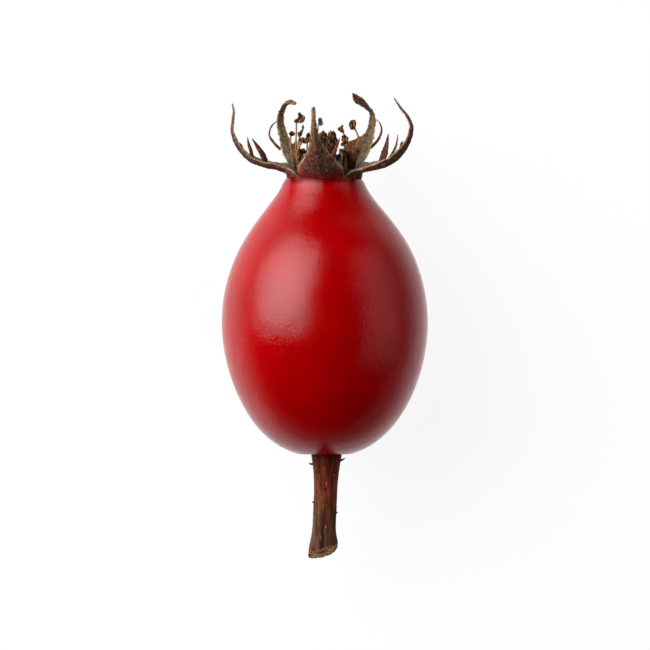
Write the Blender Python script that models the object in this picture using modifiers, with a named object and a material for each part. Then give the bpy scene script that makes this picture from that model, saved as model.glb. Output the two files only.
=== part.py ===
"""A ripe dog-rose hip with its dried calyx and a short cut stalk, lying on its side.

+Y runs along the fruit from the stalk to the calyx and +Z is up. The origin is the centre of the
small flat that the fruit rests on, right under its widest point. Lengths are in metres, written
as millimetres times MM.

The crown's own coordinates are used for all that grows at the calyx: azimuth round the fruit's
axis (0 is +X, 90 degrees is straight up), reach out from the axis, and rise above the seam
where the red flesh ends.
"""

import math
import random

import bmesh
import bpy
from mathutils import Matrix, Vector

MM = 0.001
GAP = 0.3 * MM  # clearance between pieces that touch on the real fruit

# The fruit's flesh
BELLY_RADIUS = 8.17 * MM
BELLY_TO_SEAM = 11.66 * MM
BELLY_TO_BASE = 10.31 * MM
FLAT_DEPTH = 0.16 * MM  # how far the resting flat is worn into the belly
NECK_RADIUS = 3.27 * MM
NECK_TO_SEAM = 0.55 * MM  # the narrowest part of the neck is this far below the seam
NECK_FLARE = math.radians(20.5)
LIP_RADIUS = 3.1 * MM  # the flesh's upper edge, just under the sepals
LIP_TO_SEAM = 0.5 * GAP
MOUTH_RADIUS = 2.1 * MM  # the low boss inside the calyx
BASE_RIM_RADIUS = 2.4 * MM
BASE_RIM_INSET = 0.09 * MM
BASE_FLARE = math.radians(17.7)
HIP_SIDES = 44

# The stalk
STALK_LENGTH = 7.7 * MM  # from the fruit's base to the middle of the cut
STALK_TOP_RADIUS = 1.22 * MM
STALK_MID_RADIUS = 0.9 * MM
STALK_CUT_RADIUS = 1.16 * MM
STALK_SUNK = 0.75 * MM  # how far its end stands in the fruit's base
STALK_SIDES = 22
CUT_SLANT_ACROSS = math.tan(math.radians(24.0))
CUT_SLANT_FACING = math.tan(math.radians(14.0))

# The calyx
FOOT_REACH = 2.76 * MM  # middle of the ring that the five sepals stand in
BLADE_THICKNESS = 0.62 * MM
TIP_THICKNESS = 0.22 * MM
THICKENING = 0.35  # what a blade gains in thickness for its width
EDGE_SHARE = 0.4  # a blade's thickness at its margins, as a share of that at its rib
SECTION = (-1.0, -0.6, 0.0, 0.6, 1.0)
LOBE_SECTION = (-1.0, 0.0, 1.0)

# The disc, with its stamens and styles
DISC_RADIUS = 2.0 * MM
DISC_FOOT = 0.3 * MM  # rise of its underside above the seam
DISC_THICKNESS = 0.5 * MM
STYLE_SOCKET_RADIUS = 0.95 * MM
FILAMENT_RADIUS = 0.12 * MM
STYLE_RADIUS = 0.15 * MM

AXIS_HEIGHT = BELLY_RADIUS - FLAT_DEPTH


def clear_scene():
    for old in list(bpy.data.objects):
        bpy.data.objects.remove(old)


def collection(name):
    made = bpy.data.collections.new(name)
    bpy.context.scene.collection.children.link(made)
    return made


def material(name, colour, roughness):
    made = bpy.data.materials.new(name)
    made.use_nodes = True
    surface = made.node_tree.nodes["Principled BSDF"]
    surface.inputs["Base Color"].default_value = (*colour, 1.0)
    surface.inputs["Roughness"].default_value = roughness
    return made


def finished(mesh, name, finish, group):
    """The mesh as a named, smooth-shaded object of that collection."""
    made = bpy.data.objects.new(name, mesh)
    if finish is not None:
        mesh.materials.clear()
        mesh.materials.append(finish)
    mesh.shade_smooth()
    mesh.set_sharp_from_angle(angle=math.radians(40.0))
    group.objects.link(made)
    return made


def smooth(points, count):
    """count places along a smooth curve through the points, which are numbers or vectors."""
    ends = [2 * points[0] - points[1], *points, 2 * points[-1] - points[-2]]
    made = []
    for i in range(count):
        along = i / (count - 1) * (len(points) - 1)
        k = min(int(along), len(points) - 2)
        t = along - k
        a, b, c, d = ends[k : k + 4]
        bend = 2 * a - 5 * b + 4 * c - d
        made.append(0.5 * (2 * b + (c - a) * t + bend * t**2 + (3 * b - a - 3 * c + d) * t**3))
    return made


def bezier(a, b, c, d, count):
    """count + 1 places along a cubic curve from a to d."""
    made = []
    for i in range(count + 1):
        t = i / count
        s = 1 - t
        made.append(a * s**3 + b * 3 * s * s * t + c * 3 * s * t * t + d * t**3)
    return made


def outward(azimuth):
    return Vector((math.cos(azimuth), 0.0, math.sin(azimuth)))


def sideways(azimuth):
    return Vector((-math.sin(azimuth), 0.0, math.cos(azimuth)))


def crown_point(azimuth, reach, rise, aside=0.0):
    """A place at the calyx, from its crown coordinates."""
    seam = Vector((0.0, BELLY_TO_SEAM, AXIS_HEIGHT))
    along = Vector((0.0, rise, 0.0))
    return seam + along + outward(azimuth) * reach + sideways(azimuth) * aside


def tangents(path):
    steps = [path[min(i + 1, len(path) - 1)] - path[max(i - 1, 0)] for i in range(len(path))]
    return [step.normalized() for step in steps]


def loft(rings, name):
    """A closed mesh through rings of points, with diagonals that match on a blade's two faces."""
    made = bmesh.new()
    rows = [[made.verts.new(point) for point in ring] for ring in rings]
    count = len(rings[0])
    for lower, upper in zip(rows, rows[1:]):
        for j in range(count):
            k = (j + 1) % count
            if j < count // 2:
                made.faces.new((lower[j], lower[k], upper[k]))
                made.faces.new((lower[j], upper[k], upper[j]))
            else:
                made.faces.new((lower[j], lower[k], upper[j]))
                made.faces.new((lower[k], upper[k], upper[j]))
    made.faces.new(rows[0][::-1])
    made.faces.new(rows[-1])
    bmesh.ops.recalc_face_normals(made, faces=made.faces)
    if made.calc_volume(signed=True) < 0:
        bmesh.ops.reverse_faces(made, faces=made.faces)
    mesh = bpy.data.meshes.new(name)
    made.to_mesh(mesh)
    made.free()
    return mesh


def evaluated_mesh(made):
    bpy.context.view_layer.update()
    graph = bpy.context.evaluated_depsgraph_get()
    return bpy.data.meshes.new_from_object(made.evaluated_get(graph))


def fuse(base, pieces):
    """One Boolean union of base with every object of the collection, applied. The pieces go."""
    union = base.modifiers.new("union", "BOOLEAN")
    union.operation = "UNION"
    union.operand_type = "COLLECTION"
    union.collection = pieces
    union.solver = "MANIFOLD"
    joined = evaluated_mesh(base)
    base.modifiers.clear()
    finish = base.data.materials[0]
    base.data = joined
    joined.materials.clear()
    joined.materials.append(finish)
    joined.shade_smooth()
    joined.set_sharp_from_angle(angle=math.radians(40.0))
    for piece in list(pieces.objects):
        bpy.data.objects.remove(piece)
    bpy.data.collections.remove(pieces)
    return base


def turned(profile, name, finish, group, sides, centre):
    """A solid turned about the fruit's axis, from a profile that runs down its outer side."""
    mesh = bpy.data.meshes.new(name)
    points = [(radius, along, 0.0) for radius, along in profile]
    mesh.from_pydata(points, [(i, i + 1) for i in range(len(points) - 1)], [])
    made = finished(mesh, name, finish, group)
    made.location = centre
    turn = made.modifiers.new("turn", "SCREW")
    turn.axis = "Y"
    turn.steps = turn.render_steps = sides
    turn.use_merge_vertices = True
    turn.merge_threshold = 0.01 * MM
    return made


def strand(path, radii, sides, name, pieces):
    """A round tapered strand of few sides, as a closed mesh in the collection."""
    rings = []
    across = tangents(path)[0].orthogonal().normalized()
    for point, along, radius in zip(path, tangents(path), radii):
        across = (across - along * across.dot(along)).normalized()
        other = along.cross(across)
        turns = [2 * math.pi * k / sides for k in range(sides)]
        rings.append(
            [point + (across * math.cos(t) + other * math.sin(t)) * radius for t in turns]
        )
    return finished(loft(rings, name), name, None, pieces)


def knob(place, radii, turn, name, pieces):
    """A small faceted ellipsoid, as an anther's half or a stigma."""
    made = bmesh.new()
    bmesh.ops.create_icosphere(made, subdivisions=1, radius=1.0)
    size = Matrix.Diagonal((*radii, 1.0))
    made.transform(Matrix.Translation(place) @ turn.to_4x4() @ size)
    mesh = bpy.data.meshes.new(name)
    made.to_mesh(mesh)
    made.free()
    return finished(mesh, name, None, pieces)


# The fruit


def hip_profile():
    """Radius and place along the axis, from the boss in the calyx down to the stalk's socket."""
    seam = BELLY_TO_SEAM
    neck = Vector((NECK_RADIUS, seam - NECK_TO_SEAM))
    belly = Vector((BELLY_RADIUS, 0.0))
    base = Vector((BASE_RIM_RADIUS, -BELLY_TO_BASE + BASE_RIM_INSET))
    shoulder = bezier(
        neck,
        neck + Vector((math.sin(NECK_FLARE), -math.cos(NECK_FLARE))) * 0.26 * BELLY_RADIUS,
        belly + Vector((0.0, 0.80 * BELLY_RADIUS)),
        belly,
        12,
    )
    bowl = bezier(
        belly,
        belly - Vector((0.0, 0.475 * BELLY_RADIUS)),
        base + Vector((math.cos(BASE_FLARE), math.sin(BASE_FLARE))) * 0.485 * BELLY_RADIUS,
        base,
        12,
    )
    socket = STALK_TOP_RADIUS + GAP
    boss = [
        Vector((0.0, seam)),
        Vector((0.85 * MOUTH_RADIUS, seam)),
        Vector((MOUTH_RADIUS, seam - LIP_TO_SEAM)),
        Vector((LIP_RADIUS, seam - LIP_TO_SEAM)),
    ]
    dimple = [
        Vector((0.83 * BASE_RIM_RADIUS, -BELLY_TO_BASE)),
        Vector((socket + 0.12 * MM, -BELLY_TO_BASE + 0.04 * MM)),
        Vector((socket, -BELLY_TO_BASE + 0.15 * MM)),
        Vector((socket, -BELLY_TO_BASE + STALK_SUNK + GAP)),
        Vector((0.0, -BELLY_TO_BASE + STALK_SUNK + GAP)),
    ]
    return boss + shoulder[:-1] + bowl + dimple


def make_hip(group, cutters):
    """The red flesh: a turned egg with a neck, worn flat where it rests."""
    finish = material("hip_skin", (0.42, 0.003, 0.008), 0.28)
    hip = turned(hip_profile(), "hip", finish, group, HIP_SIDES, (0.0, 0.0, AXIS_HEIGHT))
    bpy.ops.mesh.primitive_cube_add(size=2 * BELLY_RADIUS, location=(0, 0, -BELLY_RADIUS))
    ground = bpy.context.object
    ground.name = "cut_ground"
    for holder in list(ground.users_collection):
        holder.objects.unlink(ground)
    cutters.objects.link(ground)
    ground.hide_render = True
    ground.display_type = "WIRE"
    wear = hip.modifiers.new("resting_flat", "BOOLEAN")
    wear.operation = "DIFFERENCE"
    wear.object = ground


def stalk_radius(along):
    """The stalk's radius, from 0 at the fruit to 1 at the cut."""
    flared = STALK_TOP_RADIUS - STALK_MID_RADIUS
    swollen = STALK_CUT_RADIUS - STALK_MID_RADIUS
    return (
        STALK_MID_RADIUS
        + flared * math.exp(-((max(along, 0.0) / 0.17) ** 1.3))
        + swollen * math.exp(-(((1 - along) / 0.17) ** 2))
    )


def stalk_centre(along):
    """The middle of the stalk, which bows a little, from 0 at the fruit to 1 at the cut."""
    bow = max(along, 0.0)
    aside = 0.13 * MM - 0.24 * MM * bow**1.5
    droop = 0.25 * MM * bow**2
    return Vector((aside, -BELLY_TO_BASE - along * STALK_LENGTH, AXIS_HEIGHT - droop))


# Bristles and the stubs of shed ones: place from the fruit to the cut, angle round the stalk in
# degrees, length in millimetres and how far each leans towards the fruit.
BRISTLES = (
    (0.10, 178, 0.28, 0.15),
    (0.09, 8, 0.32, 0.5),
    (0.14, 262, 0.42, 0.3),
    (0.10, 315, 0.42, 0.5),
    (0.46, 182, 0.12, 0.0),
    (0.58, 2, 0.12, 0.1),
    (0.34, 248, 0.2, 0.4),
    (0.70, 296, 0.15, 0.2),
)


def make_stalk(group):
    """The woody stalk: shallow ridges, one deeper groove, a slanting cut and a few bristles."""
    rings = []
    stations = 17
    first = -STALK_SUNK / STALK_LENGTH
    for i in range(stations):
        along = first + (1 - first) * i / (stations - 1)
        ring = []
        for k in range(STALK_SIDES):
            angle = 2 * math.pi * k / STALK_SIDES
            ridges = 0.03 * math.cos(5 * angle + 0.6) + 0.02 * math.cos(3 * angle + 2.0)
            groove = 0.09 * math.exp(-(((angle - math.radians(92)) / 0.16) ** 2)) * max(along, 0.0)
            radius = stalk_radius(along) * (1 + ridges * min(max(4 * along, 0.0), 1.0) - groove)
            slant = math.cos(angle) * CUT_SLANT_ACROSS + math.sin(angle) * CUT_SLANT_FACING
            point = stalk_centre(along) + outward(angle) * radius
            point.y += slant * radius * max(0.0, (along - 0.6) / 0.4) ** 2
            ring.append(point)
        rings.append(ring)
    rings.extend(cut_rings(rings[-1]))
    finish = material("stalk_bark", (0.10, 0.035, 0.018), 0.6)
    stalk = finished(loft(rings, "stalk"), "stalk", finish, group)

    bristles = collection("bristles")
    for place, degrees, length, lean in BRISTLES:
        way = outward(math.radians(degrees))
        root = stalk_centre(place)
        reach = stalk_radius(place)
        lean_by = Vector((0.0, lean * length * MM, 0.0))
        path = [
            root + way * (reach - 0.25 * MM),
            root + way * (reach + 0.5 * length * MM) + lean_by * 0.2,
            root + way * (reach + length * MM) + lean_by,
        ]
        strand(path, (0.12 * MM, 0.08 * MM, 0.04 * MM), 4, "bristle", bristles)
    fuse(stalk, bristles)


def cut_rings(rim):
    """Rings that close the cut: the bark's rim, the wood, and the shallow pith."""
    centre = sum(rim, Vector()) / len(rim)
    made = []
    for share, inset in ((0.84, -0.05), (0.5, 0.02), (0.3, 0.05), (0.2, 0.22)):
        made.append([centre + (p - centre) * share + Vector((0, inset * MM, 0)) for p in rim])
    return made


# The sepals. Each has the azimuth and half-width of its foot in degrees, its path from foot to
# tip as (reach, rise, aside), its width at each place of the path after the foot, and its twist
# in degrees from foot to tip. A side lobe is (place along the sepal, side, width, path): the
# path runs from its root as (forward, away from the rib, inward). Lengths are in millimetres.
SEPALS = {
    "sepal_front": {
        "azimuth": 98.0,
        "half": 38.0,
        "path": (
            (2.76, 0.15, 0),
            (3.0, 0.55, 0),
            (3.65, 1.5, 0.04),
            (4.3, 2.6, 0.14),
            (4.65, 3.7, 0.2),
            (4.6, 4.75, 0.25),
            (4.3, 5.55, 0.3),
        ),
        "widths": (3.25, 2.2, 1.2, 0.66, 0.45, 0.28),
        "twist": (0, 0, 0),
        "lobes": ((0.3, -1, 0.42, ((0.35, 0.45, 0.05), (0.9, 0.8, 0.1), (1.5, 1.1, 0.1))),),
    },
    "sepal_left": {
        "azimuth": 169.5,
        "half": 33.5,
        "path": (
            (2.76, 0.15, 0),
            (3.05, 0.55, 0),
            (3.95, 0.85, 0),
            (5.0, 1.15, 0),
            (6.0, 1.85, 0),
            (6.8, 2.75, 0),
            (7.3, 3.75, 0.1),
            (7.45, 4.65, 0.2),
            (7.33, 5.3, 0.25),
            (7.45, 5.8, 0.3),
        ),
        "widths": (2.9, 2.2, 1.8, 1.5, 1.1, 0.75, 0.5, 0.4, 0.25),
        "twist": (0, -8, -14, -10, 0),
        "lobes": (
            (0.31, -1, 0.6, ((0.5, 0.1, 0.5), (1.15, 0.15, 1.0), (1.7, 0.1, 1.5))),
            (0.41, -1, 0.45, ((0.4, 0.1, 0.4), (0.9, 0.15, 0.8), (1.35, 0.1, 1.15))),
            (0.38, 1, 0.5, ((0.3, 0.4, 0.05), (0.6, 0.8, 0.1), (0.9, 1.15, 0.15))),
            (0.50, -1, 0.4, ((0.1, 0.05, 0.2), (0.2, 0.05, 0.3), (0.3, 0.05, 0.45))),
        ),
    },
    "sepal_right": {
        "azimuth": 21.5,
        "half": 38.5,
        "path": (
            (2.76, 0.15, 0),
            (3.05, 0.55, 0),
            (3.85, 0.75, 0),
            (5.0, 1.1, 0),
            (6.15, 1.85, 0),
            (7.0, 2.75, 0),
            (7.35, 3.75, 0),
            (7.1, 4.65, 0),
            (6.55, 5.45, 0),
            (6.1, 6.25, 0),
        ),
        "widths": (3.2, 2.4, 2.0, 1.7, 1.3, 0.9, 0.55, 0.4, 0.25),
        "twist": (0, 8, 14, 10, 0),
        "lobes": (
            (0.34, 1, 0.6, ((0.4, 0.1, 0.6), (0.95, 0.15, 1.2), (1.5, 0.1, 1.9))),
            (0.39, 1, 0.35, ((0.7, 0.1, 0.4), (1.3, 0.1, 0.85), (1.6, 0.1, 1.45))),
            (0.47, 1, 0.4, ((0.1, 0.05, 0.2), (0.15, 0.05, 0.35), (0.2, 0.05, 0.5))),
            (0.40, -1, 0.5, ((0.3, 0.35, 0.15), (0.6, 0.75, 0.3), (0.9, 1.1, 0.4))),
        ),
    },
    "sepal_back_left": {
        "azimuth": 236.0,
        "half": 34.0,
        "path": (
            (2.76, 0.15, 0),
            (3.25, 0.65, 0),
            (4.4, 1.45, 0),
            (5.3, 2.4, 0),
            (5.95, 3.4, 0),
            (6.2, 4.35, 0),
            (6.0, 5.2, 0),
            (5.35, 5.82, 0),
            (4.6, 5.95, 0),
            (3.95, 5.7, 0),
        ),
        "widths": (2.8, 1.7, 1.1, 0.75, 0.6, 0.5, 0.45, 0.4, 0.2),
        "twist": (0, 0, 0),
        "lobes": (
            (0.32, -1, 0.32, ((0.65, 0.45, 0.05), (1.35, 0.66, 0.1), (1.96, 0.55, 0.2), (2.5, 0.16, 0.35))),
            (0.30, 1, 0.42, ((0.4, 0.3, 0.1), (0.8, 0.5, 0.15), (1.2, 0.7, 0.3))),
        ),
    },
    "sepal_back_right": {
        "azimuth": 307.0,
        "half": 36.0,
        "path": (
            (2.76, 0.15, 0),
            (3.25, 0.65, 0),
            (4.4, 1.45, 0),
            (5.25, 2.4, 0),
            (5.83, 3.4, 0),
            (6.15, 4.3, 0),
            (6.15, 5.05, 0),
            (5.6, 5.5, 0),
            (4.65, 6.02, 0),
            (3.7, 6.55, 0),
        ),
        "widths": (2.9, 1.8, 1.3, 0.85, 0.52, 0.4, 0.5, 0.6, 0.2),
        "twist": (0, 0, 0, 10, 20),
        "lobes": (
            (0.34, 1, 0.32, ((0.6, 0.4, 0.0), (1.25, 0.6, 0.05), (1.9, 0.45, 0.3), (2.4, 0.05, 0.6))),
            (0.30, -1, 0.42, ((0.4, 0.3, 0.1), (0.8, 0.5, 0.15), (1.1, 0.8, 0.3))),
        ),
    },
}
SEPAL_STATIONS = 24
LOBE_STATIONS = 7


def blade_ring(centre, aside, inward, width, thickness, channel, section):
    """Points round a blade: its hollowed inner face from edge to edge, then its outer face back."""
    inner = []
    outer = []
    for across in section:
        lift = channel * across * across
        depth = thickness * (EDGE_SHARE + (1 - EDGE_SHARE) * (1 - across * across))
        foot = centre + aside * (across * width / 2)
        inner.append(foot + inward * (lift + depth / 2))
        outer.append(foot + inward * (lift - depth / 2))
    return inner + outer[::-1]


def sepal_frames(spec):
    """Along a sepal: its middle line, and at each place the way along, aside and inward.

    The foot is square to the fruit's axis, so that it stands flush on the flesh.
    """
    azimuth = math.radians(spec["azimuth"])
    points = [crown_point(azimuth, r * MM, s * MM, t * MM) for r, s, t in spec["path"]]
    line = smooth(points, SEPAL_STATIONS)
    ways = tangents(line)
    ways[0] = Vector((0.0, 1.0, 0.0))
    ways[1] = (ways[0] + 2 * ways[1]).normalized()
    twists = smooth([math.radians(turn) for turn in spec["twist"]], SEPAL_STATIONS)
    frames = []
    for centre, along, twist in zip(line, ways, twists):
        aside = sideways(azimuth)
        aside = (aside - along * aside.dot(along)).normalized()
        aside = Matrix.Rotation(twist, 3, along) @ aside
        frames.append((centre, along, aside, aside.cross(along)))
    return frames


def add_lobes(spec, frames, widths, pieces):
    """The sepal's side lobes: small pointed blades with their roots sunk in its margins."""
    for place, side, width, steps in spec["lobes"]:
        i = round(place * (SEPAL_STATIONS - 1))
        centre, along, aside, inward = frames[i]
        root = centre + aside * (side * 0.3 * widths[i]) + inward * 0.2 * BLADE_THICKNESS
        path = [root]
        for forward, out, up in steps:
            path.append(root + (along * forward + aside * side * out + inward * up) * MM)
        path = smooth(path, LOBE_STATIONS)
        rings = []
        for k, (point, way) in enumerate(zip(path, tangents(path))):
            at = k / (LOBE_STATIONS - 1)
            across = (along - way * along.dot(way)).normalized()
            swell = width * MM * (0.7 + 1.0 * at - 1.35 * at * at)
            depth = BLADE_THICKNESS * (0.8 - 0.45 * at)
            rings.append(blade_ring(point, across, across.cross(way), swell, depth, 0.0, LOBE_SECTION))
        finished(loft(rings, "lobe"), "lobe", None, pieces)


def make_sepal(name, spec, finish, group):
    """One dried sepal: a keeled blade hollowed towards the axis, with its side lobes fused on."""
    half = math.radians(spec["half"]) - 0.55 * GAP / FOOT_REACH
    foot_width = 2 * FOOT_REACH * math.sin(half)
    foot_channel = FOOT_REACH * (1 - math.cos(half))
    frames = sepal_frames(spec)
    widths = smooth([foot_width, *(width * MM for width in spec["widths"])], SEPAL_STATIONS)
    rings = []
    for (centre, along, aside, inward), width in zip(frames, widths):
        channel = foot_channel * (width / foot_width) ** 1.5
        thickness = min(BLADE_THICKNESS, TIP_THICKNESS + THICKENING * width)
        rings.append(blade_ring(centre, aside, inward, width, thickness, channel, SECTION))
    sepal = finished(loft(rings, name), name, finish, group)
    lobes = collection(name + "_lobes")
    add_lobes(spec, frames, widths, lobes)
    fuse(sepal, lobes)


# The disc, the stamens and the styles. Each dried stamen: azimuth in degrees, reach and rise of
# its anther in millimetres, and the anther's length.
STAMENS = (
    (155, 2.10, 4.75, 0.95),
    (171, 2.62, 3.40, 0.80),
    (198, 1.90, 3.90, 0.65),
    (145, 2.10, 2.95, 0.70),
    (180, 2.15, 2.60, 0.65),
    (112, 0.95, 4.30, 0.65),
    (35, 1.60, 3.75, 0.75),
    (42, 1.90, 3.00, 0.80),
    (13, 2.30, 4.10, 1.00),
    (226, 1.80, 3.20, 0.65),
    (262, 1.95, 2.70, 0.65),
    (290, 1.80, 3.60, 0.75),
    (318, 2.00, 2.80, 0.70),
    (345, 2.15, 3.30, 0.70),
    (128, 1.70, 2.10, 0.60),
    (65, 1.60, 2.40, 0.65),
    (212, 2.10, 2.20, 0.60),
    (304, 1.50, 2.20, 0.60),
    (275, 1.60, 4.00, 0.65),
    (240, 2.20, 4.10, 0.70),
)
# The azimuths of a tuft of withered filaments, which lean together beside the styles.
BENT_TUFT = (15, 28, 38, 48, 58, 68)


def make_disc(finish, group):
    """The low round disc that closes the fruit's mouth, with a socket for the styles."""
    floor = DISC_FOOT + 0.45 * DISC_THICKNESS
    profile = (
        (0.0, floor),
        (STYLE_SOCKET_RADIUS, floor),
        (STYLE_SOCKET_RADIUS, DISC_FOOT + 0.85 * DISC_THICKNESS),
        (0.75 * DISC_RADIUS, DISC_FOOT + DISC_THICKNESS),
        (0.95 * DISC_RADIUS, DISC_FOOT + 0.8 * DISC_THICKNESS),
        (DISC_RADIUS, DISC_FOOT + 0.2 * DISC_THICKNESS),
        (0.92 * DISC_RADIUS, DISC_FOOT),
        (0.0, DISC_FOOT),
    )
    disc = turned(profile, "stamens", finish, group, 24, crown_point(0.0, 0.0, 0.0))
    solid = evaluated_mesh(disc)
    solid.transform(disc.matrix_world)
    bpy.data.objects.remove(disc)
    return finished(solid, "stamens", finish, group)


def random_turn(draws):
    axis = Vector([draws.uniform(-1, 1) for _ in range(3)])
    return Matrix.Rotation(draws.uniform(0, 2 * math.pi), 3, axis.normalized())


def make_stamens(group):
    """The disc with its dried stamens: filaments rooted round its rim, each with an anther."""
    disc = make_disc(material("stamens_brown", (0.12, 0.065, 0.03), 0.75), group)
    pieces = collection("stamen_pieces")
    draws = random.Random(7)
    sunk = DISC_FOOT + 0.3 * DISC_THICKNESS
    for degrees, reach, rise, anther in STAMENS:
        azimuth = math.radians(degrees)
        root = crown_point(azimuth + draws.uniform(-0.12, 0.12), 1.62 * MM, sunk)
        tip = crown_point(azimuth, reach * MM, rise * MM)
        swing = outward(azimuth) * 0.3 * MM + sideways(azimuth) * draws.uniform(-0.25, 0.25) * MM
        path = bezier(
            root,
            root + Vector((0.0, 0.35 * rise * MM, 0.0)) + outward(azimuth) * 0.25 * MM,
            tip - Vector((0.0, 0.4 * rise * MM, 0.0)) + swing,
            tip,
            5,
        )
        radii = [FILAMENT_RADIUS * (1.35 - 0.1 * i) for i in range(len(path))]
        strand(path, radii, 4, "filament", pieces)
        half = anther * MM / 2
        turn = random_turn(draws)
        for side in (-0.35, 0.35):
            place = tip + turn @ Vector((0.0, side * half, 0.0))
            knob(place, (half, 0.42 * half, 0.5 * half), turn, "anther", pieces)
    for degrees in BENT_TUFT:
        azimuth = math.radians(degrees)
        root = crown_point(azimuth, 1.65 * MM, sunk)
        top = crown_point(math.radians(48), 1.85 * MM, 2.35 * MM, draws.uniform(-0.2, 0.2) * MM)
        path = bezier(
            root,
            root + Vector((0.0, 0.9 * MM, 0.0)) + outward(azimuth) * 0.45 * MM,
            top + Vector((0.0, 0.1 * MM, 0.0)) + outward(azimuth) * 0.25 * MM,
            top,
            5,
        )
        strand(path, [FILAMENT_RADIUS * 1.5] * len(path), 4, "bent_filament", pieces)
    fuse(disc, pieces)


def make_styles(group):
    """The tuft of styles that stands out of the disc: a slim core, with knobbed ends round it."""
    foot = DISC_FOOT + 0.45 * DISC_THICKNESS + GAP
    reach = STYLE_SOCKET_RADIUS - GAP
    core_path = [crown_point(0.0, 0.0, foot + rise * MM) for rise in (0.0, 0.85, 1.7, 2.4)]
    core_radii = (0.9 * reach, 0.8 * reach, 0.85 * reach, 0.5 * reach)
    styles = strand(core_path, core_radii, 8, "styles", group)
    styles.data.materials.append(material("styles_dark", (0.045, 0.028, 0.016), 0.7))
    pieces = collection("style_pieces")
    draws = random.Random(3)
    count = 16
    for k in range(count):
        azimuth = k * math.pi * (3 - math.sqrt(5))
        spread = math.sqrt((k + 0.5) / count)
        root = crown_point(azimuth, 0.55 * reach * spread, foot + 0.15 * MM)
        rise = (3.55 - 0.9 * spread * spread + draws.uniform(-0.15, 0.15)) * MM
        tip = crown_point(azimuth, (0.1 + 0.95 * spread) * MM, rise)
        middle = (root + tip) / 2 + outward(azimuth) * 0.12 * MM
        path = smooth([root, middle, tip], 4)
        strand(path, [STYLE_RADIUS] * len(path), 4, "style", pieces)
        knob(tip, (0.26 * MM, 0.2 * MM, 0.24 * MM), random_turn(draws), "stigma", pieces)
    fuse(styles, pieces)


def main():
    clear_scene()
    group = collection("rose_hip_sprig")
    make_hip(group, collection("cutters"))
    make_stalk(group)
    for name, spec in SEPALS.items():
        make_sepal(name, spec, material(name + "_dried", (0.16, 0.10, 0.06), 0.85), group)
    make_stamens(group)
    make_styles(group)


main()
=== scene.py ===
"""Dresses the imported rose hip: waxy red flesh, a woody stalk, five dried sepals with their hairs,
and the withered stamens and styles. It is lit on a bright table and seen from straight above.

Lengths are in millimetres here and become metres where a mesh, light or camera is made. The
crown's own coordinates are azimuth round the fruit's axis in degrees (0 is +X, 90 straight up),
reach out from the axis, and rise above the seam where the red flesh ends.
"""

import math
import random
from dataclasses import dataclass

import bpy
from mathutils import Matrix, Vector, noise


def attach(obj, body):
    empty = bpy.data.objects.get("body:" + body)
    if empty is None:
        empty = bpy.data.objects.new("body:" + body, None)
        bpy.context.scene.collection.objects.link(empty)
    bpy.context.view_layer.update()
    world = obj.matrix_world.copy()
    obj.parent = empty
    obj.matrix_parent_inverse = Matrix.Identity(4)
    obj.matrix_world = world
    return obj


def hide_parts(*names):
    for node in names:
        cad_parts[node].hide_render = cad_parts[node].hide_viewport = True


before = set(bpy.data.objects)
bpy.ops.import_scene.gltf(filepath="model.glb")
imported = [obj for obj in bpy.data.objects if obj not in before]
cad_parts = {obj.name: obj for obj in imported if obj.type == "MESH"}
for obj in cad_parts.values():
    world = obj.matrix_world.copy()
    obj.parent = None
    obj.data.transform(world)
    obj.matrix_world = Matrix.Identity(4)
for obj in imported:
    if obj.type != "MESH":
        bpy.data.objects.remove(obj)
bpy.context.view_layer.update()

MM = 0.001

# The same named values as the solids'
BELLY_RADIUS = 8.17
BELLY_TO_SEAM = 11.66
BELLY_TO_BASE = 10.31
AXIS_HEIGHT = 8.01
NECK_RADIUS = 3.27
NECK_TO_SEAM = 0.55
NECK_FLARE = math.radians(20.5)
BASE_RIM_RADIUS = 2.4
BASE_RIM_INSET = 0.09
BASE_FLARE = math.radians(17.7)
STALK_LENGTH = 7.7
STALK_TOP_RADIUS = 1.22
STALK_MID_RADIUS = 0.9
STALK_CUT_RADIUS = 1.16
FOOT_REACH = 2.76


# Numbers, curves and colours


def mix(a, b, share):
    return a + (b - a) * share


def ramp(value, low, high):
    """0 below low, 1 above high, and a smooth step between."""
    t = min(max((value - low) / (high - low), 0), 1)
    return t * t * (3 - 2 * t)


def colour(code):
    """Linear red, green and blue from six hexadecimal digits."""
    parts = [int(code[i : i + 2], 16) / 255 for i in (0, 2, 4)]
    return Vector([c / 12.92 if c < 0.04045 else ((c + 0.055) / 1.055) ** 2.4 for c in parts])


def rough(point, size, seed=0):
    """Smooth noise between about -1 and 1, with lumps of that size."""
    return noise.noise(Vector(point) / size + Vector((seed, 1.7 * seed, -seed)))


def bell(value, width):
    """1 at 0, and less to both sides."""
    return math.exp(-((value / width) ** 2))


def hump(angle, width):
    """A bell round a circle."""
    return math.exp((math.cos(angle) - 1) / width)


def curve_at(points, share):
    """The place at a share from 0 to 1 of a smooth curve through numbers or vectors."""
    ends = [2 * points[0] - points[1], *points, 2 * points[-1] - points[-2]]
    along = min(max(share, 0), 1) * (len(points) - 1)
    k = min(int(along), len(points) - 2)
    t = along - k
    a, b, c, d = ends[k : k + 4]
    square = 2 * a - 5 * b + 4 * c - d
    return 0.5 * (2 * b + (c - a) * t + square * t**2 + (3 * b - a - 3 * c + d) * t**3)


def smooth(points, count):
    return [curve_at(points, i / (count - 1)) for i in range(count)]


def bezier(a, b, c, d, count):
    made = []
    for i in range(count + 1):
        t = i / count
        s = 1 - t
        made.append(a * s**3 + b * 3 * s * s * t + c * 3 * s * t * t + d * t**3)
    return made


def outward(degrees):
    return Vector((math.cos(math.radians(degrees)), 0, math.sin(math.radians(degrees))))


def sideways(degrees):
    return Vector((-math.sin(math.radians(degrees)), 0, math.cos(math.radians(degrees))))


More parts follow.
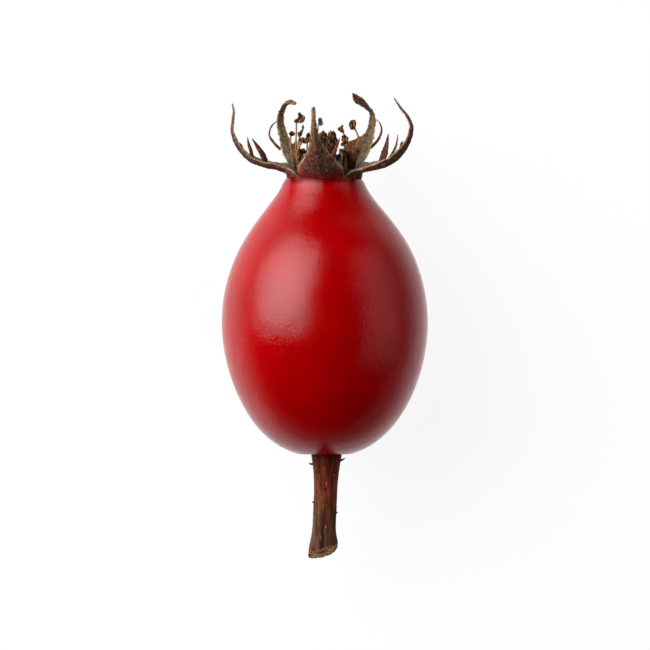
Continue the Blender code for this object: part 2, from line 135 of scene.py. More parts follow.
def crown_point(degrees, reach, rise, aside=0):
    seam = Vector((0, BELLY_TO_SEAM + rise, AXIS_HEIGHT))
    return seam + outward(degrees) * reach + sideways(degrees) * aside


def crown_place(across, rise, up):
    """A place on the crown: to the right of the axis, above the flesh's end, and up from the axis."""
    return Vector((across, BELLY_TO_SEAM + rise, AXIS_HEIGHT + up))


def crown_places(steps):
    return [crown_place(*step) for step in steps]


def tangents(path):
    steps = [path[min(i + 1, len(path) - 1)] - path[max(i - 1, 0)] for i in range(len(path))]
    return [step.normalized() for step in steps]


def random_way(draws):
    return Vector([draws.gauss(0, 1) for _ in range(3)]).normalized()


# Gathering meshes


def link(name, data):
    """A new object with that data, in the scene."""
    made = bpy.data.objects.new(name, data)
    bpy.context.scene.collection.objects.link(made)
    return made


# A hair's bend where it has none, and the way along the fruit
STRAIGHT = Vector()
ALONG = Vector((0, 1, 0))


def pole_to_pole(rows):
    """Angles down from a round body's top, with a small gap left at each pole for its cap."""
    return [math.pi * (i + 0.02) / (rows + 0.04) for i in range(rows + 1)]


class Shape:
    """Points and faces of one piece.

    Each point has a tint, whose fourth number is how downy it is, and a place for its textures.
    """

    def __init__(self):
        self.points = []
        self.tints = []
        self.places = []
        self.faces = []
        self.finishes = []

    def point(self, at, tint, place=(0, 0, 0), down=1):
        self.points.append(at)
        self.tints.append((*tint, down))
        self.places.append(place)
        return len(self.points) - 1

    def face(self, corners, finish):
        self.faces.append(corners)
        self.finishes.append(finish)

    def skin(self, rings, finish, capped=True):
        """A skin over rings of points. A ring is a list of what point() is given."""
        rows = [[self.point(*given) for given in ring] for ring in rings]
        count = len(rows[0])
        for lower, upper in zip(rows, rows[1:]):
            for j in range(count):
                k = (j + 1) % count
                self.face((lower[j], lower[k], upper[k], upper[j]), finish)
        if capped:
            self.face(tuple(rows[0][::-1]), finish)
            self.face(tuple(rows[-1]), finish)
        return rows

    def loft(self, rows, sides, at, finish, capped=True):
        """A skin over rows of points, where at(row, k) says what point() is given."""
        return self.skin([[at(row, k) for k in range(sides)] for row in rows], finish, capped)

    def tube(self, path, radii, sides, tint, finish, flat=1, seed=0, lumps=0):
        """A tapered strand along the path. flat squeezes it to a ribbon."""
        ways = tangents(path)
        across = ways[0].orthogonal().normalized()
        rings = []
        for i, (middle, along, radius) in enumerate(zip(path, ways, radii)):
            across = (across - along * across.dot(along)).normalized()
            other = along.cross(across)
            here = tint(i / (len(path) - 1)) if callable(tint) else tint
            ring = []
            for k in range(sides):
                turn = 2 * math.pi * k / sides
                way = across * math.cos(turn) + other * (math.sin(turn) * flat)
                size = radius * (1 + lumps * rough(middle + way * radius, 0.16, seed))
                ring.append((middle + way * size, here))
            rings.append(ring)
        self.skin(rings, finish)

    def hair(self, root, way, length, radius, tint, finish, bend=STRAIGHT):
        """One short tapered hair with three sides."""
        middle = root + way * (length * 0.55) + bend * 0.25
        across = way.orthogonal().normalized()
        other = way.cross(across)
        low = []
        high = []
        for k in range(3):
            turn = 2 * math.pi * k / 3
            aside = across * math.cos(turn) + other * math.sin(turn)
            low.append(self.point(root - way * radius + aside * radius, tint))
            high.append(self.point(middle + aside * (radius * 0.7), tint))
        top = self.point(root + way * length + bend, tint)
        for k in range(3):
            n = (k + 1) % 3
            self.face((low[k], low[n], high[n], high[k]), finish)
            self.face((high[k], high[n], top), finish)
        self.face((low[2], low[1], low[0]), finish)

    def bead(self, at, radius, tint, finish):
        """A tiny eight-sided bead, as a gland."""
        ends = [self.point(at + Vector(way) * radius, tint) for way in BEAD]
        for a, b, c in BEAD_FACES:
            self.face((ends[a], ends[b], ends[c]), finish)

    def lump(self, at, radii, turn, tint, finish, rows, sides, shape=None):
        """A round body. shape moves a unit point and tints it."""

        def place(down, k):
            by = 2 * math.pi * k / sides
            unit = Vector((math.sin(down) * math.cos(by), math.sin(down) * math.sin(by), math.cos(down)))
            unit, here = shape(unit, tint) if shape else (unit, tint)
            return at + turn @ Vector([size * radius for size, radius in zip(unit, radii)]), here

        self.loft(pole_to_pole(rows), sides, place, finish)

    def piece(self, name, finishes, node):
        """The finished piece, which rides on the body and stands for its CAD node."""
        mesh = bpy.data.meshes.new(name)
        mesh.from_pydata([at * MM for at in self.points], [], self.faces)
        tints = mesh.attributes.new("tint", "FLOAT_COLOR", "POINT")
        tints.data.foreach_set("color", [c for tint in self.tints for c in tint])
        places = mesh.attributes.new("place", "FLOAT_VECTOR", "POINT")
        places.data.foreach_set("vector", [c for place in self.places for c in place])
        for finish in finishes:
            mesh.materials.append(finish)
        mesh.polygons.foreach_set("material_index", self.finishes)
        mesh.shade_smooth()
        mesh.validate()
        made = link(name, mesh)
        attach(made, "root")
        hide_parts(node)


BEAD = ((1, 0, 0), (-1, 0, 0), (0, 1, 0), (0, -1, 0), (0, 0, 1), (0, 0, -1))
BEAD_FACES = ((0, 2, 4), (2, 1, 4), (1, 3, 4), (3, 0, 4), (2, 0, 5), (1, 2, 5), (3, 1, 5), (0, 3, 5))


# Materials


class Nodes:
    """Short calls for building the node tree of a material, a lamp or the room."""

    def __init__(self, owner, last="Principled BSDF"):
        owner.use_nodes = True
        self.owner = owner
        self.tree = owner.node_tree
        self.last = self.tree.nodes[last]

    def put(self, node, key, value):
        socket = node.inputs[key]
        if isinstance(value, bpy.types.NodeSocket):
            self.tree.links.new(value, socket)
        elif socket.type == "RGBA":
            socket.default_value = (*value, 1)
        else:
            socket.default_value = value

    def add(self, kind, output, inputs=(), **settings):
        """A new node's output."""
        node = self.tree.nodes.new("ShaderNode" + kind)
        for key, value in settings.items():
            setattr(node, key, value)
        for key, value in dict(inputs).items():
            self.put(node, key, value)
        return node.outputs[output]

    def coordinates(self):
        return self.add("TexCoord", "Object")

    def noise(self, scale, detail=4, rough=0.55, stretch=None, vector=None):
        vector = vector or self.coordinates()
        if stretch:
            vector = self.add("Mapping", "Vector", {"Vector": vector, "Scale": stretch})
        given = {"Vector": vector, "Scale": scale, "Detail": detail, "Roughness": rough}
        return self.add("TexNoise", "Fac", given)

    def cells(self, scale, edge, core):
        """Round cells: 0 out from edge and 1 in from core."""
        found = self.add("TexVoronoi", "Distance", {"Vector": self.coordinates(), "Scale": scale})
        return self.range(found, edge, core)

    def range(self, value, low, high, to_low=0, to_high=1, kind="SMOOTHSTEP"):
        ends = {"Value": value, "From Min": low, "From Max": high, "To Min": to_low, "To Max": to_high}
        return self.add("MapRange", "Result", ends, interpolation_type=kind)

    def distance(self, a, b):
        return self.add("VectorMath", "Value", {0: a, 1: b}, operation="DISTANCE")

    def most(self, a, b):
        return self.add("Math", 0, {0: a, 1: b}, operation="MAXIMUM")

    def times(self, a, b):
        return self.add("Math", 0, {0: a, 1: b}, operation="MULTIPLY")

    def blend(self, share, a, b, kind="MIX"):
        return self.add("Mix", 2, {0: share, 6: a, 7: b}, data_type="RGBA", blend_type=kind)

    def tint(self, output="Color"):
        return self.add("Attribute", output, attribute_name="tint")

    def tinted(self, value, low, high, dark, light):
        """The point's tint times a shade from dark to light, as the value goes from low to high."""
        return self.blend(1, self.tint(), self.blend(self.range(value, low, high), dark, light), "MULTIPLY")

    def bumps(self, *layers):
        """The normal under layers of (height, distance in metres, strength)."""
        below = {}
        for height, distance, strength in layers:
            given = {"Height": height, "Strength": strength, "Distance": distance, **below}
            below = {"Normal": self.add("Bump", "Normal", given)}
        return below

    def finish(self, base, roughness, normal=(), **settings):
        """The material, with those inputs of its shader."""
        given = {key.replace("_", " "): value for key, value in settings.items()}
        for key, value in {"Base Color": base, "Roughness": roughness, **dict(normal), **given}.items():
            self.put(self.last, key, value)
        return self.owner


def skin_material():
    """Waxy red skin: slow changes of red, painted shade on the neck, pale pores and an orange-peel surface."""
    n = Nodes(bpy.data.materials.new("hip_skin_waxy"))
    red = n.tinted(n.noise(260, 3), 0.35, 0.68, colour("ad0003"), colour("b80006"))
    along = n.add("SeparateXYZ", "Y", {"Vector": n.coordinates()})
    near_neck = n.range(along, 0.004, 0.011, 0.63, 0.52)
    pores = n.times(n.cells(2300, 0.1, 0.05), n.range(n.noise(1400, 1), near_neck, 0.68))
    red = n.blend(n.times(pores, 0.6), red, colour("d8705c"))
    peel = n.noise(5200, 4, 0.6, (1, 0.8, 1))
    ripple = n.noise(1500, 2, 0.5, (1, 0.7, 1))
    normal = n.bumps((peel, 0.000036, 0.8), (ripple, 0.00003, 0.6), (pores, 0.00001, 0.6))
    dull = n.range(n.noise(520, 3), 0.35, 0.7, 0.07, 0.12)
    depth = {"Subsurface_Weight": 0.8, "Subsurface_Radius": (1, 0.03, 0.015), "Subsurface_Scale": 0.0045}
    return n.finish(red, dull, normal, IOR=1.45, **depth)


def bark_material():
    """Thin reddish bark: streaks along the stalk, pale flecks and fine ridges."""
    n = Nodes(bpy.data.materials.new("stalk_bark_woody"))
    streaks = n.noise(3600, 5, 0.6, (1, 0.16, 1))
    patches = n.noise(900, 3, stretch=(1, 0.5, 1))
    bark = n.tinted(streaks, 0.34, 0.66, (0.42, 0.34, 0.28), (1.3, 1.2, 1.1))
    bark = n.blend(n.range(patches, 0.55, 0.75, 0, 0.3), bark, colour("6e3c26"))
    flecks = n.times(n.cells(2600, 0.22, 0.12), n.range(patches, 0.5, 0.62))
    bark = n.blend(n.times(flecks, 0.3), bark, colour("b08560"))
    normal = n.bumps((streaks, 0.00006, 0.8), (n.noise(9000, 3), 0.00002, 0.5))
    return n.finish(bark, n.range(patches, 0.3, 0.7, 0.62, 0.8), normal, Specular_IOR_Level=0.08)


def cut_material():
    """The cut end: coarse fibres, with the point's tint for rim, wood and pith."""
    n = Nodes(bpy.data.materials.new("stalk_cut_wood"))
    fibres = n.noise(6000, 5, 0.65, (0.35, 1, 0.8))
    wood = n.tinted(fibres, 0.34, 0.66, (0.5, 0.42, 0.3), (2.3, 2.1, 1.8))
    dull = n.range(fibres, 0.3, 0.7, 0.7, 0.9)
    return n.finish(wood, dull, n.bumps((fibres, 0.00012, 0.8)), Specular_IOR_Level=0.2)


def sepal_material():
    """Dry leaf: the point's tint, mottled, with fibres that run along the blade and pale down."""
    n = Nodes(bpy.data.materials.new("sepal_dry_leaf"))
    place = n.add("Attribute", "Vector", attribute_name="place")
    fibres = n.noise(1, 5, 0.6, (1.2, 9, 1), place)
    mottle = n.noise(3000, 4, 0.6)
    leaf = n.tinted(mottle, 0.32, 0.68, (0.48, 0.38, 0.3), (1.5, 1.38, 1.22))
    leaf = n.blend(n.range(fibres, 0.4, 0.66, 0.4, 0), leaf, colour("2c1408"))
    downy = n.tint("Alpha")
    down = n.times(n.cells(7500, 0.32, 0.14), n.range(n.noise(2000, 2), 0.4, 0.55))
    fluff = n.times(n.cells(14000, 0.45, 0.2), n.times(downy, 0.6))
    specks = n.times(n.cells(5200, 0.3, 0.16), n.range(mottle, 0.42, 0.52))
    down = n.most(down, n.times(specks, 1.15))
    down = n.times(n.most(down, fluff), downy)
    leaf = n.blend(n.times(down, 0.8), leaf, colour("c8b096"))
    normal = n.bumps((fibres, 0.00005, 0.8), (mottle, 0.00005, 0.7), (down, 0.00003, 0.7))
    return n.finish(leaf, n.range(mottle, 0.3, 0.7, 0.7, 0.9), normal, Specular_IOR_Level=0.12)


def hair_material():
    """Down and glands: pale, with the point's tint."""
    n = Nodes(bpy.data.materials.new("sepal_down"))
    hair = n.tinted(n.noise(4000, 2), 0.3, 0.7, colour("c8bcae"), colour("ffffff"))
    return n.finish(hair, n.range(n.noise(5000), 0.3, 0.7, 0.4, 0.6))


def husk_material(name, low, high, gloss):
    """Withered husk: crumpled, with painted shade in its folds. low and high are its roughness."""
    n = Nodes(bpy.data.materials.new(name))
    crumple = n.noise(6500, 5, 0.65)
    stain = n.noise(2200, 3)
    # painted shade and highlight: the crumple's hollows, which the bump sinks too, are darker and its crests lighter
    husk = n.tinted(crumple, 0.34, 0.62, (0.3, 0.24, 0.18), (1.5, 1.4, 1.25))
    husk = n.blend(n.range(stain, 0.5, 0.75, 0, 0.3), husk, colour("84582e"))
    normal = n.bumps((crumple, 0.00008, 0.8))
    look = {"Specular_IOR_Level": gloss, "Specular_Tint": (1, 0.78, 0.68)}
    return n.finish(husk, n.range(stain, 0.3, 0.7, low, high), normal, **look)


# The fruit

# The flesh's section at its two ends: (radius, place along), which the lip counts from the seam
LIP = (
    (0.02, 0), (1.2, 0), (2, 0), (2.6, 0.02), (2.85, -0.02), (2.98, -0.12), (3.08, -0.25), (3.17, -0.38),
)
DIMPLE = (
    (2.2, -10.285), (1.95, -10.325), (1.7, -10.315), (1.5, -10.24), (1.36, -10.1), (1.25, -9.9), (1.15, -9.6),
    (0.6, -9.5), (0.02, -9.5),
)


def flesh_profile():
    """(radius, place along the axis) from the disc's bed over the lip and down to the dimple."""
    seam = BELLY_TO_SEAM
    neck = Vector((NECK_RADIUS, seam - NECK_TO_SEAM))
    belly = Vector((BELLY_RADIUS, 0))
    base = Vector((BASE_RIM_RADIUS, -BELLY_TO_BASE + BASE_RIM_INSET))
    flare = Vector((math.sin(NECK_FLARE), -math.cos(NECK_FLARE)))
    bowl = Vector((math.cos(BASE_FLARE), math.sin(BASE_FLARE)))
    upper = bezier(neck, neck + flare * 0.26 * BELLY_RADIUS, belly + Vector((0, 0.8 * BELLY_RADIUS)), belly, 60)
    lower = bezier(belly, belly - Vector((0, 0.475 * BELLY_RADIUS)), base + bowl * 0.485 * BELLY_RADIUS, base, 60)
    return [Vector((r, seam + s)) for r, s in LIP] + upper[:-1] + lower + [Vector(place) for place in DIMPLE]


# The slight waist on the upper side of the neck
WAIST_DEPTH = 0.25
WAIST_BELOW_SEAM = 3
WAIST_LENGTH = 1.5


def make_flesh():
    shape = Shape()
    sides = 176

    def skin_at(row, k):
        radius, along = row
        way = outward(360 * k / sides)
        at = way * radius + Vector((0, along, AXIS_HEIGHT))
        fade = ramp(radius, 0, 3)
        swell = 0.035 * rough(at, 4, 3) + 0.012 * rough(at, 1.1, 5)
        waist = ramp(way.z, 0.25, 0.9) * ramp(along, 2, 5)
        swell -= WAIST_DEPTH * waist * bell(along - BELLY_TO_SEAM + WAIST_BELOW_SEAM, WAIST_LENGTH)
        at += way * swell * fade
        at.x -= 0.09 * ramp(along, 6, 10.5)
        at.z = max(at.z, 0)
        # painted shade: the neck is painted darker towards the seam, as shade under the sepals
        neck = ramp(along + 0.25 * rough(at, 0.9, 8), 10.7, 11.6)
        inside = ramp(along - BELLY_TO_SEAM, -0.05, 0.1)
        socket = ramp(-along, 9.2, 10.3) * ramp(-radius, -3.2, -1.6)
        tint = mix(Vector((1, 1, 1)), Vector((0.36, 0.6, 0.6)), neck)
        tint = mix(tint, Vector((0.25, 8, 5)), inside)
        return at, mix(tint, Vector((1.15, 1, 0.9)), socket)

    shape.loft(flesh_profile(), sides, skin_at, 0)
    shape.piece("hip_flesh", [skin_material()], "hip")


def stalk_radius(along):
    flared = STALK_TOP_RADIUS - STALK_MID_RADIUS
    swollen = STALK_CUT_RADIUS - STALK_MID_RADIUS
    near_fruit = math.exp(-((max(along, 0) / 0.17) ** 1.3))
    return STALK_MID_RADIUS + flared * near_fruit + swollen * bell(1 - along, 0.17)


def stalk_centre(along):
    bow = max(along, 0)
    across = 0.13 - 0.27 * bow**1.3
    return Vector((across, -BELLY_TO_BASE - along * STALK_LENGTH, AXIS_HEIGHT - 0.25 * bow**2))


# Bristles and the stubs of shed ones: place from the fruit to the cut, angle round the stalk in
# degrees, length, and how far each leans towards the fruit.
BRISTLES = (
    (0.1, 178, 0.28, 0.1), (0.07, 8, 0.36, 0.6), (0.14, 262, 0.42, 0.3), (0.1, 315, 0.42, 0.5),
    (0.495, 182, 0.12, 0.3), (0.6, 2, 0.14, 0), (0.34, 248, 0.2, 0.4), (0.7, 296, 0.15, 0.2),
)
# Small scars and flecks of the bark: (place along, degrees, half-width, half-length, colour)
SCARS = (
    (0.215, 50, 0.055, 0.08, "e0c8a8"), (0.215, 62, 0.035, 0.04, "c8a488"), (0.3, 87, 0.05, 0.22, "a8786c"),
    (0.36, 92, 0.09, 0.13, "3c1010"), (0.39, 138, 0.04, 0.14, "3a1414"), (0.52, 84, 0.025, 0.12, "b08860"),
    (0.545, 99, 0.02, 0.3, "a07850"), (0.75, 82, 0.03, 0.13, "c8a890"), (0.79, 88, 0.02, 0.22, "a88468"),
    (0.86, 100, 0.03, 0.1, "8c7060"),
)
# The cut end from its rim to its middle: (share of the rim's distance, how far it sinks, colour)
CUT_RINGS = (
    (1, 0, "8f5634"), (0.95, -0.05, "9d6436"), (0.88, -0.03, "967947"), (0.8, 0, "d6bd8b"), (0.65, 0.02, "c5a472"),
    (0.5, 0.03, "d3b381"), (0.38, 0.02, "b39260"), (0.28, 0.03, "967652"), (0.18, 0.05, "765232"),
    (0.08, 0.06, "5f4724"), (0.02, 0.06, "5f4724"),
)
# Lumps of the bark: (depth, how many across and along, seed)
BARK_LUMPS = ((0.05, 2.6, 2.2, 9), (0.028, 6, 4.5, 4), (0.012, 14, 24, 6))
# How far the stalk runs on into the fruit's socket, and a bristle into the stalk
STALK_IN_SOCKET = 0.75
BRISTLE_SUNK = 0.12
STALK_HAIRS = 60


def stalk_tint(along, degrees):
    """Bark colour: reddish at the fruit, browner below, and painted light on the left side."""
    angle = math.radians(degrees)
    tint = mix(colour("5a1e14"), colour("723022"), ramp(along, 0.04, 0.2))
    tint = mix(tint, colour("64402c"), ramp(along, 0.3, 0.75))
    # painted light: the left side, which faces the key softbox, is painted lighter and greyer
    left = ramp(-math.cos(angle), -0.2, 0.95)
    tint = mix(tint, mix(colour("6e4034"), colour("745a48"), ramp(along, 0.35, 0.75)), 0.8 * left)
    wander = 0.2 * rough((along * 7.7, 0, 0), 1.2, 21)
    streak = bell(angle - math.radians(88) + wander, 0.22) * ramp(along, 0.3, 0.42) * ramp(along, 0.8, 0.6)
    tint = mix(tint, colour("7c3a14"), 0.85 * streak)
    return mix(tint, colour("5a3e36"), 0.6 * ramp(along, 0.8, 0.95))


def make_stalk():
    shape = Shape()
    sides = 96
    stations = 150

    def bark_at(i, k):
        along = mix(-STALK_IN_SOCKET / STALK_LENGTH, 1, i / (stations - 1))
        degrees = 360 * k / sides
        angle = math.radians(degrees)
        way = outward(degrees)
        ridges = 0.03 * math.cos(5 * angle + 0.6) + 0.02 * math.cos(3 * angle + 2)
        wander = angle - math.radians(92) + 0.08 * rough((along * 7.7, 0, 0), 1.6, 2)
        groove = 0.11 * bell(wander, 0.15) * ramp(along, 0.5, 0.8)
        bark = 0
        for depth, across, length, seed in BARK_LUMPS:
            bark += depth * rough((way.x * across, along * length, way.z * across), 1, seed)
        radius = stalk_radius(along) * (1 + (ridges + bark) * min(max(5 * along, 0), 1) - groove)
        # how far the slanting cut lies towards the fruit, round the stalk
        slant = 0.06 + math.cos(angle) * 0.36 + math.sin(angle) * 0.345 + 0.13 * math.cos(2 * angle)
        slant -= 0.2 * bell(angle - 5.65, 0.5) + 0.1 * bell(angle - 3.75, 0.4)
        slant -= 0.22 * hump(angle - 0.4, 0.13) + 0.1 * hump(angle - 2, 0.2)
        slant -= 0.12 * hump(angle - 3.3, 0.08)
        at = stalk_centre(along) + way * radius
        at.y += slant * radius * max(0, (along - 0.6) / 0.4) ** 2
        at.y += 0.09 * rough(way * 2.2, 1, 12) * ramp(along, 0.85, 1)
        # painted shade: the groove is also painted dark by its depth
        tint = mix(stalk_tint(along, degrees), colour("23100c"), min(8 * groove, 0.85))
        return at, mix(tint, colour("a0623a"), 0.6 * ramp(along, 0.98, 1))

    bark = shape.loft(range(stations - 1), sides, bark_at, 0, False)
    rim = [bark_at(stations - 1, k)[0] for k in range(sides)]
    pith = sum(rim, Vector()) / sides + Vector((-0.1, -0.1, -0.3))

    def cut_at(step, k):
        share, inset, code = step
        at = mix(pith, rim[k], share)
        at.y += inset + (0.05 * rough(at, 0.22, 2) + 0.03 * rough(at, 0.09, 6)) * (share < 0.97)
        near = math.sin(2 * math.pi * k / sides) * share + 0.25 * rough(at, 0.3, 5)
        return at, mix(colour(code), colour("9c6848"), 0.9 * ramp(near, 0.05, 0.25))

    cut = shape.loft(CUT_RINGS, sides, cut_at, 1, False)
    for j in range(sides):
        k = (j + 1) % sides
        shape.face((bark[-1][j], bark[-1][k], cut[0][k], cut[0][j]), 0)
    shape.face(tuple(bark[0][::-1]), 0)
    shape.face(tuple(cut[-1]), 1)
    for place, degrees, length, lean in BRISTLES:
        way = outward(degrees)
        root = stalk_centre(place) + way * (stalk_radius(place) - BRISTLE_SUNK)
        tip = root + way * (length + BRISTLE_SUNK) + ALONG * (lean * length)
        path = smooth([root, mix(root, tip, 0.5) - ALONG * 0.04, tip], 6)
        shape.tube(path, [0.12, 0.105, 0.09, 0.075, 0.06, 0.04], 7, colour("54200e"), 0, lumps=0.2)
    for place, degrees, size, long, code in SCARS:
        at = stalk_centre(place) + outward(degrees) * (stalk_radius(place) * 0.99)
        turn = Matrix.Rotation(math.radians(degrees), 3, -ALONG)
        shape.lump(at, (0.4 * size, long, size), turn, colour(code), 0, 8, 10)
    draws = random.Random(11)
    for _ in range(STALK_HAIRS):
        along = draws.uniform(0.02, 0.97)
        way = outward(draws.uniform(0, 360))
        root = stalk_centre(along) + way * (stalk_radius(along) * 0.96)
        lean = ALONG * draws.uniform(-0.5, 0.8)
        shape.hair(root, (way + lean).normalized(), draws.uniform(0.06, 0.16), 0.025, colour("8a5c40"), 0)
    shape.piece("stalk_wood", [bark_material(), cut_material()], "stalk")


# The sepals. Each has the azimuth and half-width of its foot in degrees, its path from foot to
# tip as (reach, rise, aside), its width at each place of the path after the foot, and its twist
# in degrees from foot to tip. "halves" widens or narrows its two halves, and "down" is how downy
# each face is. A side lobe is (place along the sepal, side, width, path), where the path is of
# crown places. A row of the outer or inner face is a place along the sepal, and its colours from
# margin to margin. Three colours run from a margin to the rib, and are the same on both sides.
FRONT = dict(
    azimuth=98, half=38, twist=(0, 0, 0), down=(0.75, 0.8),
    path=(
        (2.76, 0.15), (3, 0.55), (3.65, 1.5, 0.04), (4.3, 2.6, 0.14), (4.65, 3.7, 0.2), (4.6, 4.7, 0.25),
        (4.3, 5.4, 0.3),
    ),
    widths=(3.42, 2.12, 1.02, 0.55, 0.36, 0.23),
    halves=((1, 1), (0.93, 1), (0.88, 1), (0.88, 0.96), (0.9, 0.92), (1, 1)),
    lobes=(
        (0.28, -1, 0.36, ((0.62, 1.23, 3.42), (0.76, 1.78, 3.6), (0.98, 2.36, 3.85), (1.18, 2.95, 4.2))),
    ),
    outer=(
        "0 680403 600303 6c0302 640404 6c0604", "0.09 5d2619 430e04 510504 5f0f0c 7d3427",
        "0.18 794a34 3e1e0d 4f0a08 5a170f 814634", "0.28 7f5b44 513219 5c1e14 642e20 835644",
        "0.4 7f6048 413822 643428 744230 87604d", "0.5 7f6048 4a402b 764436 85503e 876250",
        "0.65 7f6246 645036 855442 90604b 906d54", "0.85 a27f5b 8b6d48 966848 a27252 a27f5d",
        "1 b39d64 ae9156 a88450 ae8b54 b79d64",
    ),
    inner=(
        "0 6a5844 5c4a38 54422f", "1 8a6848 7c5e40 74543a",
    ),
)
LEFT = dict(
    azimuth=169.5, half=33.5, twist=(0, -5, -6, -9, -10, -7, -4, 0), down=(0.45, 1),
    path=(
        (2.76, 0.15), (3.05, 0.5), (3.95, 0.8), (5, 1.02), (6.08, 1.5), (6.94, 2.43), (7.39, 3.5, 0.1),
        (7.34, 4.4, 0.2), (7.26, 5.1, 0.25), (7.4, 5.78, 0.3),
    ),
    widths=(2.9, 2.2, 1.8, 1.45, 1, 0.62, 0.42, 0.32, 0.15),
    halves=((1, 1), (0.55, 1.05), (0.75, 0.95), (0.95, 1), (1, 1), (1, 1), (1, 1), (1, 1), (1, 1), (1, 1)),
    lobes=(
        (0.3, -1, 0.5, ((-4.67, 1.19, 1.4), (-4.91, 1.69, 1.65), (-5.26, 2.28, 1.9), (-5.75, 3.01, 2))),
        (0.42, -1, 0.31, ((-5.72, 1.46, 1.5), (-5.84, 2.01, 1.65), (-6, 2.52, 1.8), (-6.1, 3.11, 1.9))),
        (0.38, 1, 0.5, ((-5.32, 1.35, 0.3), (-5.55, 1.5, -0.1), (-5.8, 1.68, -0.5), (-6, 1.85, -0.85))),
        (0.5, -1, 0.22, ((-6.53, 2.14, 1.5), (-6.62, 2.38, 1.6), (-6.73, 2.6, 1.7))),
    ),
    outer=(
        "0 731a12 71160e 690e0e", "0.06 815941 713728 65281d", "0.13 a48061 774d36 5d3324 714532 95795d",
        "0.25 9d8165 65442f 4b2a1e 5f402e 897059", "0.4 7f6349 563828 472d1f 543726 755e47",
        "0.6 7e6146 664734 583b27", "0.8 8a5d46 815541 774d3b 815541 8a614b", "1 956144 8e573d 824d36",
    ),
    inner=(
        "0 6a4c38 6a5844 5c4a38 8a7e68 94886c", "0.12 a89478 8c806c 847860 988c78 a09478", "0.5 94805f 74604a 64503c",
        "1 98684a 8a5a44 80503c",
    ),
)
RIGHT = dict(
    azimuth=21.5, half=38.5, twist=(0, 9, 7, 5, 9, 7, 4, 0), down=(0.4, 0.9),
    path=(
        (2.76, 0.15), (3.05, 0.5), (3.9, 0.7), (5.05, 0.95), (6.1, 1.53), (6.98, 2.65), (7.33, 3.75), (7.04, 4.65),
        (6.39, 5.42), (5.88, 6.17),
    ),
    widths=(3.2, 2.4, 2, 1.65, 1.2, 0.75, 0.45, 0.32, 0.15),
    halves=((1, 1), (0.95, 0.5), (0.9, 0.65), (1, 0.92), (1, 1), (1, 1), (1, 1), (1, 1), (1, 1), (1, 1)),
    lobes=(
        (0.33, 1, 0.64, ((4.46, 0.88, 2.35), (4.61, 1.47, 2.6), (4.85, 2.28, 2.9), (5.04, 3.33, 3.1))),
        (0.42, 1, 0.2, ((4.92, 1.23, 2.5), (5.32, 1.78, 2.75), (5.65, 2.48, 3), (5.77, 3.27, 3.15))),
        (0.47, 1, 0.24, ((5.97, 2.2, 2.8), (6.05, 2.48, 2.9), (6.11, 2.76, 2.95))),
        (0.4, -1, 0.5, ((5.43, 1.45, 1.4), (5.7, 1.7, 1.1), (5.95, 1.95, 0.8), (6.15, 2.15, 0.5))),
    ),
    outer=(
        "0 5b130d 591009 530b09", "0.06 654f37 59291c 501e14 593929 654c36", "0.13 715e47 5b3e29 492719 5f4128 7e6441",
        "0.25 6f543b 543621 4a2717 5f3f27 8c6c4c", "0.4 65442d 4f2e1b 4a2815 55321d 735136",
        "0.6 765238 694027 5f351f", "0.8 926348 87593b 7d4d34", "1 8e573c 834e39 7b4832",
    ),
    inner=(
        "0 8e7b5a 847157 58432b 503a23 583f2a", "0.12 988564 917d64 7e6c4d 765f43 937750", "0.5 8e7350 6e573d 604832",
        "1 8e573d 844b34 7a442f",
    ),
)
BACK_LEFT = dict(
    azimuth=236, half=34, twist=(0, 0, 0), down=(0.35, 1),
    path=(
        (2.76, 0.15), (3.25, 0.65), (4.4, 1.53), (5.38, 2.54), (6.12, 3.56), (6.48, 4.52), (6.3, 5.3), (5.72, 5.9),
        (4.97, 6.1), (4.2, 5.94),
    ),
    widths=(2.8, 1.75, 1.15, 0.78, 0.62, 0.5, 0.48, 0.5, 0.44),
    halves=((1, 1), (1.1, 1), (1.3, 1), (1.25, 1), (1, 1.05), (1, 1.25), (1, 1.1), (1, 1), (1, 1), (1, 1)),
    lobes=(
        (0.32, -1, 0.17,
            ((-3.54, 2.3, -4.05), (-3.96, 2.71, -4.15), (-4.34, 3.21, -4.35), (-4.44, 3.68, -4.7), (-4.28, 4.22, -5.1),
             (-3.87, 4.63, -5.4))),
        (0.3, 1, 0.42, ((-2.43, 2.2, -4.5), (-2.4, 2.56, -4.75), (-2.37, 2.85, -5), (-2.31, 3.14, -5.2))),
    ),
    outer=(
        "0 7c1c14 7a1810 701010", "0.1 7e5c46 6a4430 643424", "0.5 8c744a 745a30 6a4e2a", "1 a0704a 94643e 8c5a38",
    ),
    inner=(
        "0 7e6850 6a5a44 4c3c28 4a3a24 54422c", "0.1 94806a 8a7860 64543c 54442c 5c4a30",
        "0.22 b09884 a08c78 94806a 80705a 7c6a50", "0.32 a8907a 7c6850 74624c 7a6850 84705a",
        "0.42 a08c6c 6e5a40 6e5a42 7a6448 8a744e", "0.55 a08c5c 7e6236 745828 806838 9a8450",
        "0.72 7a6430 60481a 5c4414 806424 a0864c", "0.86 806238 745028 6c4620 7a5830 946c44", "1 a87c60 a07458 987050",
    ),
)
